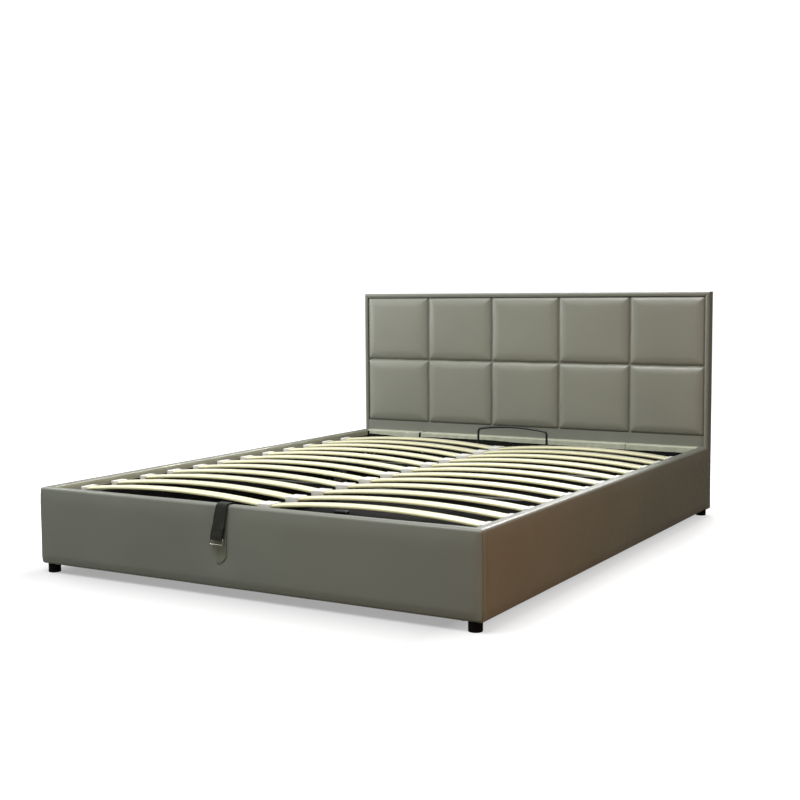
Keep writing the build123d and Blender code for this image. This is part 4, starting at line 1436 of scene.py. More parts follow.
    def lining(self) -> None:
        """Black cloth stapled over the back."""
        low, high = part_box("headboard_lining")
        rows = []
        for z in spread(low.z, high.z, self.lining_step):
            row = []
            for x in spread(low.x, high.x, self.lining_step):
                edge = min(x - low.x, high.x - x, z - low.z, high.z - z)
                wave = ripple(Vector((x, 0, z)), self.slack_size, 4.0) * min(edge / self.lining_fade, 1.0)
                row.append(Vector((x, high.y - HAIR + self.slack * wave, z)))
            rows.append(row)
        shape = grid_shape(rows)
        face_sheet(shape, HEADWARD, HEADWARD)
        cloth = thickened(object_from("headboard_back_cloth", shape), self.lining_wall)
        place_piece(cloth, LINING, Body.BASE, "headboard_lining")
        inset = self.staple_inset
        spots = [
            Spot(Vector((x, high.y, z)), HEADWARD, ACROSS)
            for x in spread(low.x + 3 * inset, high.x - 3 * inset, self.staple_pitch)
            for z in (low.z + inset, high.z - inset)
        ]
        spots += [
            Spot(Vector((x, high.y, z)), HEADWARD, UP)
            for z in spread(low.z + 3 * inset, high.z - 3 * inset, self.staple_pitch)
            for x in (low.x + inset, high.x - inset)
        ]
        template = staple(self.staple_width, self.staple_wire)
        Scatter.place("back_cloth_staples", template, spots, STAPLE_WIRE, Body.BASE)


# Rails


@dataclass
class Rails:
    """Foot rail, side rails and head ledge: boards wrapped in leatherette, lined inside."""

    skin: float = 1.4 * MM
    radius: float = 11 * MM
    inner_radius: float = 6 * MM
    swell: float = 2.5 * MM
    lift: float = 0.6 * MM
    head_fade: float = 70 * MM
    turned_in: float = 27 * MM
    uneven_share: float = 0.16
    uneven_size: float = 130 * MM
    nick_size: float = 45 * MM
    step: float = 14 * MM
    give: float = 0.7 * MM
    give_size: float = 120 * MM
    full: float = 3.2 * MM
    top_roll: float = 56 * MM
    low_roll: float = 26 * MM
    end_roll: float = 30 * MM
    dent: float = 0.8
    dent_reach: float = 26 * MM
    curl: float = 0.8 * MM
    curl_reach: float = 4 * MM
    seam_width: float = 1.2 * MM
    seam_depth: float = 1.5 * MM
    hem_lean: float = 0.3 * MM
    tuck_rows: int = 5
    tuck_bulge: float = 0.4 * MM
    bulge_size: float = 50 * MM
    staple_pitch: float = 48 * MM
    staple_width: float = 11 * MM
    staple_wire: float = 1.2 * MM
    staple_inset: float = 9 * MM
    liner_wall: float = 0.6 * MM
    liner_fold: float = 1.1 * MM
    liner_fold_size: float = 50 * MM
    liner_fold_length: float = 700 * MM
    liner_corner: float = 14 * MM
    liner_inset: float = 1.3 * MM
    liner_rise: float = 6 * MM
    wide_join: float = -0.513
    wide_gap: float = 12 * MM
    wide_slant: float = -8 * MM
    slit_join: float = 0.497
    slit_gap: float = 2.6 * MM
    slit_slant: float = -7 * MM
    ledge_radius: float = 4 * MM
    ledge_slack: float = 1.8 * MM
    ledge_wave: float = 0.9 * MM
    ledge_wave_size: float = 30 * MM
    ledge_pinch: float = 1.9 * MM
    ledge_pinch_size: float = 34 * MM
    ledge_crease: float = 1.1 * MM
    ledge_crease_size: tuple[float, float] = (60 * MM, 9 * MM)
    ledge_sag: float = 1.3 * MM
    ledge_sag_size: float = 90 * MM
    ledge_flat_share: float = 0.45
    ledge_drop_shares: tuple[tuple[float, float], ...] = (
        (-1.0, 0.76), (-0.7, 1.04), (-0.62, 0.88), (-0.54, 0.8), (-0.2, 0.74), (0.0, 0.9), (0.62, 1.0), (0.91, 0.98),
        (1.0, 1.12),
    )

    def __post_init__(self) -> None:
        """Take the rails' sizes from their CAD nodes."""
        self.foot_low, self.foot_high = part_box("foot_rail_cover")
        self.side_low, self.side_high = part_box("side_rail_cover_right")
        self.ledge_low, self.ledge_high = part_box("head_rail_cover")
        self.board_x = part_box("side_rail_board_right")[0].x
        self.tuck = self.side_high.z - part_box("storage_liner")[1].z
        tab_low, tab_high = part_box("strap_tab")
        self.tab_x = (tab_low.x + tab_high.x) / 2
        self.tab_half = (tab_high.x - tab_low.x) / 2
        self.tab_end = tab_low.z

    def build(self) -> None:
        """Make every cover of the rails."""
        self.foot_cover()
        for side in Side:
            self.side_cover(side)
        self.ledge()
        self.liner()
        dress_nodes(CHIPBOARD, "foot_rail_board", "side_rail_board_left", "side_rail_board_right")
        # Dressed black so that the gaps between the ledge's lengths look dark: painted shade.
        dress_nodes(BLACK_FOIL_AND_GAP_SHADE, "head_rail_board")
        self.staples()

    def tuck_drop(self, run: float, seed: float) -> float:
        """How far the leatherette is folded down inside at a place along a rail."""
        wander = noise_at(run / self.uneven_size, seed, 0) + 0.5 * noise_at(run / self.nick_size, seed, 5)
        return self.turned_in * (1 + self.uneven_share * wander)

    def fullness(self, *edges: tuple[float, float]) -> float:
        """How far the padding crowns beyond a rail's rounded edges: most in the middle of its face.

        Args:
            edges: For each edge of the face, how far off it is and how wide its soft roll is.

        Returns:
            The crown's height.
        """
        share = 1.0
        for distance, roll in edges:
            near = 1 - unit((distance - self.radius) / (roll - self.radius))
            share *= 1 - near * near
        return self.full * share

    def foot_face(self, x: float, z: float) -> float:
        """How far the foot rail's front stands out, dented where the tab is sewn to it.

        Args:
            x: Where along the rail.
            z: How high.

        Returns:
            How far it stands before its CAD cover.
        """
        low, high = self.foot_low, self.foot_high
        out = self.swell + self.fullness(
            (high.z - z, self.top_roll), (z - low.z, self.low_roll), (high.x - abs(x), self.end_roll)
        )
        beside = max(0.0, abs(x - self.tab_x) - self.tab_half)
        held = math.exp(-((beside / self.dent_reach) ** 2))
        deep = unit(0.5 + 0.5 * (z - self.tab_end) / self.dent_reach)
        return out * (1 - self.dent * held * deep)

    def foot_shoulder(self, x: float, turn: float, gap: float) -> Vector:
        """A place over the foot rail's rounded top edge.

        Args:
            x: Where along the rail.
            turn: How far round the edge, from 0 on top to a quarter turn in front.
            gap: How far off the leatherette.

        Returns:
            The place.
        """
        z = self.foot_high.z + self.lift - self.radius * (1 - math.cos(turn))
        reach = self.radius * math.sin(turn)
        y = self.foot_low.y - self.swell + self.radius - reach
        y -= math.sin(turn) * (self.foot_face(x, z) - self.swell)
        return Vector((x, y - gap * math.sin(turn), z + gap * math.cos(turn)))

    def foot_cover(self) -> None:
        """The foot rail's wrap: front, ends, top and bottom, tucked down inside."""
        low = self.foot_low - Vector((self.swell, self.swell, 0))
        high = self.foot_high + Vector((self.swell, 0, self.lift))
        high.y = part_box("foot_rail_board")[1].y
        tuck_x = self.side_low.x
        shape = rounded_box(low, high, self.radius, lambda edge: min(vert.co.y for vert in edge.verts) < low.y + MM)
        slice_shape(shape, 0, spread(-tuck_x, tuck_x, self.step))
        ends = [high.x - self.radius - share * self.end_roll for share in (0.1, 0.3, 0.55)]
        slice_shape(shape, 0, [*ends, *(-end for end in ends)])
        slice_shape(shape, 2, spread(low.z + 2 * self.radius, high.z - self.top_roll, self.step))
        shares = (0.19, 0.22, 0.26, 0.31, 0.38, 0.48, 0.6, 0.75, 0.9)
        slice_shape(shape, 2, [high.z - self.top_roll * share for share in shares])
        slice_shape(shape, 1, [high.y - self.curl_reach])
        self.corner_seams(shape, low, high)
        remove_faces(shape, lambda middle, normal: middle.y > high.y - HAIR)
        for vert in shape.verts:
            if vert.co.y > high.y - HAIR and abs(vert.co.x) > high.x - MM:
                vert.co.x -= math.copysign(self.curl, vert.co.x)
            front = unit((low.y + self.radius - vert.co.y) / self.radius)
            beside = unit((abs(vert.co.x) - high.x + self.radius) / self.radius)
            edges = ((high.z - vert.co.z, self.top_roll), (vert.co.z - low.z, self.low_roll))
            vert.co.y -= front * (self.foot_face(vert.co.x, vert.co.z) - self.swell)
            vert.co.x += math.copysign(beside * self.fullness(*edges), vert.co.x)
        soften(shape, self.give, self.give_size, 2.0)
        rim = [
            edge for edge in shape.edges
            if edge.is_boundary and all(
                vert.co.z > high.z - 2 * MM and abs(vert.co.x) < tuck_x + MM and vert.co.y > high.y - 2 * MM
                for vert in edge.verts
            )
        ]
        self.tuck_in(shape, rim, self.foot_high.y - high.y, 11.0)
        cover = thickened(object_from("foot_rail_upholstery", shape), self.skin)
        place_piece(cover, RAIL_LEATHERETTE, Body.BASE, "foot_rail_cover")

    def corner_seams(self, shape: BMesh, low: Vector, high: Vector) -> None:
        """Press the upright sewn seams into the foot rail's two front corners.

        Args:
            shape: The wrap before it is crowned.
            low: Its lowest corner.
            high: Its highest corner.
        """
        for side in Side:
            axis = Vector((side.value * (high.x - self.radius), low.y + self.radius, 0))
            outward_way = Vector((side.value, -1, 0)).normalized()
            across = Vector((side.value, 1, 0)).normalized()
            for shift in (-self.seam_width, 0.0, self.seam_width):
                seam_cut(shape, lambda at: side.value * (at.x - axis.x) > 0, axis + across * shift, across)
            for vert in shape.verts:
                gap = vert.co - axis
                gap.z = 0
                if abs(gap.dot(across)) < 0.05 * MM and gap.dot(outward_way) > 0.5 * self.radius:
                    vert.co -= outward_way * self.seam_depth

    def tuck_in(self, shape: BMesh, rim: list[BMEdge], reach: float, seed: float) -> None:
        """Fold the sheet over the foot rail's inner edge and down behind it.

        Args:
            shape: The sheet.
            rim: The edges on top of the rail that the fold starts from.
            reach: How far the fold stands inside of the rim.
            seed: Which wavy lower edge it gets.
        """
        starts = [vert.co.copy() for vert in {vert for edge in rim for vert in edge.verts}]
        bent = 3
        for row in range(1, self.tuck_rows + 1):
            fresh, rim = sprung(shape, rim)
            turn = min(row, bent) / bent * QUARTER
            for vert in fresh:
                start = min(starts, key=lambda place: (place - vert.co).length_squared)
                hang = max(0, row - bent) / (self.tuck_rows - bent) * (self.tuck_drop(start.x, seed) - reach)
                bulge = self.tuck_bulge * ripple(start, self.bulge_size, seed) * (row > bent)
                inward = HEADWARD * (reach * math.sin(turn) + bulge)
                vert.co = start + inward - UP * (reach * (1 - math.cos(turn)) + hang)

    def side_cover(self, side: Side) -> None:
        """A side rail's wrap, from its wavy tuck over the top and down the outside.

        Args:
            side: The side of the bed.
        """
        low = self.side_low
        high = self.side_high + Vector((self.swell, 0, self.lift))
        seed = 20.0 + side.value

        def arc(x: float, z: float, radius: float, start: float) -> list[tuple[float, float]]:
            """A quarter turn clockwise round a place, from a starting angle."""
            turns = (start - QUARTER * index / 5 for index in range(6))
            return [(x + radius * math.cos(turn), z + radius * math.sin(turn)) for turn in turns]

        inner = self.inner_radius
        top = arc(low.x + inner, high.z - inner, inner, math.pi)
        top += [(x, high.z) for x in spread(low.x + inner, high.x - self.radius, 6 * MM)[1:-1]]
        top += arc(high.x - self.radius, high.z - self.radius, self.radius, QUARTER)
        roll = [high.z - self.top_roll * share for share in (0.27, 0.31, 0.38, 0.48, 0.6, 0.75, 0.9)]
        below = reversed(spread(low.z + self.radius, high.z - self.top_roll, self.step))
        faces = [(high.x, z) for z in [*roll, *below]][:-1]
        bottom = arc(high.x - self.radius, low.z + self.radius, self.radius, 0.0)
        bottom += [(x, low.z) for x in reversed(spread(self.board_x, high.x - self.radius, 8 * MM))][1:]
        rows = []
        stations = [low.y, low.y + 0.25 * self.curl_reach, low.y + 0.6 * self.curl_reach]
        for y in [*stations, *spread(low.y + self.curl_reach, high.y, self.step)]:
            bend = max(0.0, 1 - (y - low.y) / self.curl_reach)
            free = math.sin(min(1.0, (high.y - y) / self.head_fade) * QUARTER)
            drop = self.tuck_drop(y, seed)
            shares = (0.0, 0.3, 0.55, 0.8)
            hem = [(low.x - self.hem_lean * share, high.z - drop + (drop - inner) * share) for share in shares]
            row = [Vector((x, y, z)) for x, z in [*hem, *top, *faces, *bottom]]
            for point in row:
                front = unit((point.x - high.x + self.radius) / self.radius)
                edges = ((high.z - point.z, self.top_roll), (point.z - low.z, self.low_roll))
                point.x += front * (free * self.fullness(*edges) - self.curl * bend * bend - (1 - free) * self.swell)
                point.x *= side.value
            rows.append(row)
        shape = grid_shape(rows)
        face_sheet(shape, side.value * ACROSS, side.value * ACROSS)
        soften(shape, self.give, self.give_size, seed)
        cover = thickened(object_from(f"side_rail_upholstery_{side.word}", shape), self.skin)
        place_piece(cover, RAIL_LEATHERETTE, Body.BASE, f"side_rail_cover_{side.word}")
        # The turned-in hem inside the rail gets the lighter copy of the leatherette: painted light.
        cover.data.materials.append(TURNED_IN_PAINTED_LIGHT_LEATHERETTE.material())
        for face in cover.data.polygons:
            inside = abs(face.center.x) < low.x + self.inner_radius / 3
            face.material_index = int(inside and face.center.z > high.z - 2 * self.turned_in)

    def ledge(self) -> None:
        """The head ledge in three lengths of leatherette, gathered over its inner edge."""
        low, high = self.ledge_low, self.ledge_high
        shape = bmesh.new()
        for start, finish, slant_start, slant_finish in (
            (low.x, self.wide_join - self.wide_gap / 2, 0.0, self.wide_slant),
            (self.wide_join + self.wide_gap / 2, self.slit_join - self.slit_gap / 2, self.wide_slant, self.slit_slant),
            (self.slit_join + self.slit_gap / 2, high.x, self.slit_slant, 0.0),
        ):
            lines = []
            for x in spread(start, finish, 7 * MM):
                share = (x - start) / (finish - start)
                lines.append(self.ledge_line(x, slant_start * (1 - share) + slant_finish * share))
            verts = [[shape.verts.new(point) for point in line] for line in lines]
            for before, after in zip(verts, verts[1:]):
                for index in range(len(before) - 1):
                    shape.faces.new((before[index], after[index], after[index + 1], before[index + 1]))
        face_sheet(shape, UP, UP)
        cover = thickened(object_from("head_ledge_upholstery", shape), self.skin)
        # The ledge is dressed in the lighter copy of the leatherette: painted light.
        place_piece(cover, LEDGE_PAINTED_LIGHT_LEATHERETTE, Body.BASE, "head_rail_cover")

    def ledge_drop(self, x: float) -> float:
        """How far the ledge's leatherette reaches down, which its gathers leave uneven.

        Args:
            x: Where along the ledge.

        Returns:
            The drop.
        """
        places = [self.ledge_high.x * share for share, _ in self.ledge_drop_shares]
        drops = [(self.ledge_high.z - self.ledge_low.z) * share for _, share in self.ledge_drop_shares]
        wave = self.ledge_wave * noise_at(x / self.ledge_wave_size, 3.0, 0)
        for before, after, first, second in zip(places, places[1:], drops, drops[1:]):
            if x <= after:
                share = unit((x - before) / (after - before))
                smooth = share * share * (3 - 2 * share)
                return first + (second - first) * smooth + wave
        return drops[-1] + wave

    def ledge_line(self, x: float, slant: float) -> list[Vector]:
        """One line of the ledge's skin, from the headboard over the edge and down.

        Args:
            x: Where the line starts at the headboard.
            slant: How far it leans sideways by its lower end.

        Returns:
            Its points.
        """
        low, high = self.ledge_low, self.ledge_high
        drop = self.ledge_drop(x)
        radius = self.ledge_radius
        run = high.y - low.y - radius
        line = [Vector((x, high.y - run * index / 10, high.z)) for index in range(10)]
        for index in range(6):
            turn = QUARTER * index / 5
            y = low.y + radius - radius * math.sin(turn)
            line.append(Vector((x, y, high.z - radius + radius * math.cos(turn))))
        for index in range(1, 7):
            line.append(Vector((x, low.y, high.z - radius - (drop - radius) * index / 6)))
        for index, point in enumerate(line):
            share = index / (len(line) - 1)
            point.x += slant * share
            fold = abs(noise_at(x / self.ledge_pinch_size + 0.6 * share, 9.0, 0.4 * share))
            pinch = self.ledge_pinch * (1 - min(1.0, 2.2 * fold)) * min(1.0, share / 0.3)
            crease_x, crease_z = self.ledge_crease_size
            crease = self.ledge_crease * noise_at(x / crease_x, 5.0, point.z / crease_z)
            if share < self.ledge_flat_share:
                sag = self.ledge_sag * (0.5 + 0.5 * noise_at(x / self.ledge_sag_size, 1.0, share))
                point.z -= 0.6 * pinch + sag * math.sin(math.pi * share / self.ledge_flat_share)
            else:
                over = min(1.0, (share - self.ledge_flat_share) / 0.1)
                point.y -= self.ledge_slack * over - pinch - max(0.0, crease)
        return line

    def staples(self) -> None:
        """Staples that hold the leatherette under the rails."""
        spots = []
        for side in Side:
            x = side.value * (self.side_high.x - self.staple_inset)
            for y in spread(self.side_low.y + 40 * MM, self.side_high.y - 40 * MM, self.staple_pitch):
                spots.append(Spot(Vector((x, y, self.foot_low.z)), -UP, HEADWARD))
        y = self.foot_low.y + self.staple_inset
        for x in spread(self.side_low.x - 30 * MM, 30 * MM - self.side_low.x, self.staple_pitch):
            spots.append(Spot(Vector((x, y, self.foot_low.z)), -UP, ACROSS))
        template = staple(self.staple_width, self.staple_wire)
        Scatter.place("rail_staples", template, spots, STAPLE_WIRE, Body.BASE)

    def liner(self) -> None:
        """Black cloth round the inside of the box, with soft upright folds."""
        low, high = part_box("storage_liner")
        corner = self.liner_corner
        x, back, front = high.x - self.liner_inset, high.y - self.liner_inset, low.y + self.liner_inset
        path: list[Vector] = []
        for centre_x, centre_y, start in (
            (x - corner, back - corner, 0.0), (corner - x, back - corner, QUARTER),
            (corner - x, front + corner, math.pi), (x - corner, front + corner, 3 * QUARTER),
        ):
            for index in range(7):
                turn = start + QUARTER * index / 6
                path.append(Vector((centre_x + corner * math.cos(turn), centre_y + corner * math.sin(turn), 0)))
        walls: list[Vector] = []
        for first, second in zip(path, [*path[1:], path[0]]):
            count = max(1, round((second - first).length / (18 * MM)))
            walls += [first.lerp(second, index / count) for index in range(count)]
        rows = []
        for z in [*spread(low.z, high.z - self.liner_rise, 20 * MM), high.z + self.liner_rise]:
            row = []
            for index, point in enumerate(walls):
                before, after = walls[index - 1], walls[(index + 1) % len(walls)]
                along = (after - before).normalized()
                place = point / self.liner_fold_size
                fold = max(0.0, noise_at(place.x, place.y, z / self.liner_fold_length)) * (z < high.z)
                row.append(point + UP.cross(along) * self.liner_fold * fold + UP * z)
            rows.append(row)
        shape = grid_shape(rows, closed=True)
        face_sheet(shape, ACROSS, -ACROSS)
        cloth = thickened(object_from("storage_liner_cloth", shape), self.liner_wall)
        place_piece(cloth, LINING, Body.BASE, "storage_liner")


# Platform


@dataclass
class Platform:
    """The lifting platform: steel tubes, bent slats in plastic caps, bar and stop block."""

    slat_edge: float = 3.2 * MM
    slat_wander: float = 0.8 * MM
    cap_edge: float = 2.0 * MM
    cap_wall: float = 2.6 * MM
    cap_floor: float = 5.4 * MM
    cap_roof: float = 1.3 * MM
    cap_trim: float = 0.9 * MM
    cap_depth: float = 22 * MM
    cap_width: float = 58 * MM
    cap_length: float = 25 * MM
    slat_rise: float = 22.5 * MM
    slat_width: float = 53 * MM
    slat_thickness: float = 8 * MM
    veneers: float = 9.4 * MM
    usual_pitch: float = 151.3 * MM

    def __post_init__(self) -> None:
        """Take the slats' and caps' places from their CAD nodes."""
        self.slats = {side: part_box(f"slats_{side.word}") for side in Side}
        self.caps_low, self.caps_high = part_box("slat_end_caps")
        self.centre_low, self.centre_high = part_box("slat_centre_caps")
        low, high = self.slats[Side.RIGHT]
        self.first_y = low.y + self.slat_width / 2
        self.last_y = high.y - self.slat_width / 2
        self.rows = 1 + round((self.last_y - self.first_y) / self.usual_pitch)
        self.pitch = (self.last_y - self.first_y) / (self.rows - 1)

    def build(self) -> None:
        """Make every piece that lifts."""
        self.bent_slats()
        self.caps()
        tubes = ("side_tube_left", "side_tube_right", "foot_tube", "head_tube", "centre_tube")
        dress_nodes(BLACK_PAINT, *(f"platform_{tube}" for tube in (*tubes, "cross_tube_1", "cross_tube_2")))
        dress_nodes(BLACK_PAINT, "mattress_retaining_bar")
        dress_nodes(BLACK_MOULDING, "tube_end_plugs", "foot_stop_block")

    def bent_slats(self) -> None:
        """Both files of slats, grown by one tree."""
        pattern = slat_pattern()
        for side in Side:
            low, high = self.slats[side]
            values = {
                "Rows": self.rows, "Pitch": self.pitch,
                "First": ((low.x + high.x) / 2, self.first_y, low.z + self.slat_thickness / 2),
                "Length": high.x - low.x, "Rise": self.slat_rise, "Width": self.slat_width,
                "Thickness": self.veneers, "Edge": self.slat_edge, "Wander": self.slat_wander,
                "Seed": 5 + side.value, "Material": SLAT_BIRCH.material(),
            }
            piece = pattern.grow(f"bent_slats_{side.word}", values)
            place_piece(piece, SLAT_BIRCH, Body.PLATFORM, f"slats_{side.word}")

    def cap(self, length: float, open_ends: Sequence[float]) -> Object:
        """A slat holder, base down at the origin, with a pocket in each open end.

        Args:
            length: Its length along X.
            open_ends: The ends that hold a slat, as -1 and 1.

        Returns:
            The holder as a template.
        """
        height = self.caps_high.z - self.caps_low.z - self.cap_trim
        low = Vector((-length / 2, -self.cap_width / 2, 0))
        high = Vector((length / 2, self.cap_width / 2, height))
        holder = object_from("slat_cap_template", rounded_box(low, high, self.cap_edge, lambda edge: True, 3))
        for end in open_ends:
            inner = end * (length / 2 - min(length * 0.42, self.cap_depth))
            outer = end * (length / 2 + MM)
            floor = Vector((min(inner, outer), self.cap_wall - self.cap_width / 2, self.cap_floor))
            roof = Vector((max(inner, outer), self.cap_width / 2 - self.cap_wall, height - self.cap_roof))
            cut_away(holder, rounded_box(floor, roof, MM, lambda edge: span(edge, 0) > MM, 2))
        return holder

    def caps(self) -> None:
        """End caps on the side tubes and double caps on the centre tube."""
        rows = [self.first_y + self.pitch * row for row in range(self.rows)]
        spots = []
        for side in Side:
            x = side.value * (self.caps_high.x - self.cap_length / 2)
            spots += [Spot(Vector((x, y, self.caps_low.z)), UP, side.value * ACROSS) for y in rows]
        template = self.cap(self.cap_length, (-1,))
        Scatter.place("slat_end_holders", template, spots, WHITE_MOULDING, Body.PLATFORM, "slat_end_caps")
        template = self.cap(self.centre_high.x - self.centre_low.x, (-1, 1))
        spots = [Spot(Vector((0, y, self.centre_low.z)), UP, ACROSS) for y in rows]
        Scatter.place("slat_centre_holders", template, spots, WHITE_MOULDING, Body.PLATFORM, "slat_centre_caps")


# Storage floor and mechanism


@dataclass
class Underframe:
    """Floor, battens, feet, brackets and the bolts that hold them."""

    bolt_radius: float = 7 * MM
    bolt_height: float = 4.5 * MM
    bolt_key: float = 3 * MM
    shank: float = 5 * MM

    def build(self) -> None:
        """Dress the kept nodes and set real heads on the bolts."""
        dress_nodes(BLACK_FOIL_AND_GAP_SHADE, "storage_floor_panels")
        dress_nodes(SOFTWOOD, "floor_beam", "floor_battens")
        dress_nodes(BLACK_MOULDING, "corner_feet", "centre_feet")
        dress_nodes(BLACK_PAINT, "corner_brackets")
        for node in ("frame_bolts", "mechanism_bolts"):
            self.bolt_heads(node)

    def bolt_heads(self, node: str) -> None:
        """Replace a set of plain bolts by socket screws, one head on each shank's end.

        Args:
            node: The CAD node of the bolts.
        """
        template = socket_head(self.bolt_radius, self.bolt_height, self.bolt_key)
        Scatter.place(f"{node}_heads", template, self.bolt_spots(node), ZINC_PLATE, Body.BASE, node)

    def bolt_spots(self, node: str) -> list[Spot]:
        """Find where each bolt's head sits and which way it faces.

        Args:
            node: The CAD node of the bolts.

        Returns:
            A spot for each bolt.
        """
        shape = bmesh.new()
        shape.from_mesh(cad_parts[node].data)
        bmesh.ops.remove_doubles(shape, verts=shape.verts, dist=WELD)
        spots = []
        left = set(shape.verts)
        while left:
            island = {left.pop()}
            ahead = list(island)
            while ahead:
                found = {vert for edge in ahead.pop().link_edges for vert in edge.verts} - island
                island |= found
                ahead += found
            left -= island
            spots.append(self.spot_of([vert.co.copy() for vert in island]))
        shape.free()
        return sorted(spots, key=lambda spot: tuple(spot.at))

    def spot_of(self, points: list[Vector]) -> Spot:
        """Find the head end of one bolt from its points.

        Args:
            points: The corners of the bolt's solid.

        Returns:
            The head's seat, facing away from the shank.
        """
        low = Vector([min(point[axis] for point in points) for axis in range(3)])
        high = Vector([max(point[axis] for point in points) for axis in range(3)])
        size = high - low
        axis = max(range(3), key=lambda index: size[index])
        middle = (low + high) / 2
        wide = [point for point in points if self.off_axis(point, middle, axis) > self.shank]
        side = 1 if sum(point[axis] for point in wide) / len(wide) > middle[axis] else -1
        facing = Vector((0, 0, 0))
        facing[axis] = side
        at = middle.copy()
        at[axis] = (high[axis] if side > 0 else low[axis]) - side * self.bolt_height
        return Spot(at, facing, UP if axis != 2 else ACROSS)

    @staticmethod
    def off_axis(point: Vector, middle: Vector, axis: int) -> float:
        """How far a point lies from a line through middle along an axis."""
        gap = point - middle
        gap[axis] = 0
        return gap.length


class Mechanism:
    """Hinge posts, plates and gas struts of both sides."""

    def build(self) -> None:
        """Dress the mechanism's nodes."""
        for side in Side:
            plates = ("hinge_post", "strut_foot_bracket", "platform_hinge_plate")
            dress_nodes(ZINC_PLATE, *(f"{plate}_{side.word}" for plate in plates))
            dress_nodes(STRUT_ENAMEL, f"strut_cylinder_{side.word}")
            dress_nodes(CHROME, f"strut_rod_{side.word}")
        dress_nodes(ZINC_PLATE, "pivot_bolts")


# Pull strap


@dataclass(frozen=True)
class Ribbon:
    """A woven strip that follows a line, thicker along its selvedges."""

    width: float
    thickness: float
    selvedge: float = 3 * MM

    def section(self, width: float) -> list[tuple[float, float]]:
        """Places across and heights round one cut through the strip.

        Args:
            width: The strip's width there.

        Returns:
            The points of the cut, round from the left selvedge.
        """
        half = width / 2
        edge = self.selvedge
        top = [(half - 0.3 * MM, 0.8), (half - 0.35 * edge, 1.0), (half - edge, 1.0), (half - 1.3 * edge, 0.85)]
        middle = [(half * share, 0.88) for share in (0.55, 0.2)]
        right = [*top, *middle]
        upper = [*((-x, h) for x, h in right), *reversed(right)]
        lower = [(x, -h) for x, h in reversed(upper)]
        around = [(-half, 0.0), *upper, (half, 0.0), *lower]
        return [(x, h * self.thickness / 2) for x, h in around]

    def along(self, name: str, line: Sequence[Vector], waist: Callable[[float], float]) -> Object:
        """Sweep the strip along a line in its own flat, held level across.

        Args:
            name: The piece's name.
            line: The points that its middle follows.
            waist: Its share of the full width by the length that has passed.

        Returns:
            The strip, with its weave's places in an attribute.
        """
        rows, places = [], []
        passed = 0.0
        for index, point in enumerate(line):
            before, after = line[max(index - 1, 0)], line[min(index + 1, len(line) - 1)]
            passed += (point - line[max(index - 1, 0)]).length
            run = Vector((0, after.y - before.y, after.z - before.z)).normalized()
            out = Vector((0, -run.z, run.y))
            section = self.section(self.width * waist(passed))
            rows.append([point + Vector((x, 0, 0)) + out * h for x, h in section])
            places += [value for x, _ in section for value in (x, passed, 0.0)]
        shape = grid_shape(rows, closed=True)
        shape.verts.ensure_lookup_table()
        for ring in (shape.verts[:len(rows[0])], shape.verts[-len(rows[0]):]):
            shape.faces.new(ring)
        strip = object_from(name, outward(shape))
        stored = strip.data.attributes.new(WEAVE, "FLOAT_VECTOR", "POINT")
        stored.data.foreach_set("vector", places)
        return strip


def smooth_line(points: Sequence[Vector], step: float) -> list[Vector]:
    """Points along a smooth curve through given ones.

    Args:
        points: The places that the curve passes.
        step: The widest gap between the points that it gives.

    Returns:
        The curve's points, both ends with them.
    """
    line = [points[0].copy()]
    for index in range(len(points) - 1):
        start, finish = points[index], points[index + 1]
        before, after = points[max(index - 1, 0)], points[min(index + 2, len(points) - 1)]
        length = (finish - start).length
        leave = (finish - before).normalized() * length
        arrive = (after - start).normalized() * length
        count = max(1, math.ceil(length / step))
        for number in range(1, count + 1):
            t = number / count
            point = start * (2 * t ** 3 - 3 * t ** 2 + 1) + leave * (t ** 3 - 2 * t ** 2 + t)
            point += finish * (3 * t ** 2 - 2 * t ** 3) + arrive * (t ** 3 - t ** 2)
            line.append(point)
    return line


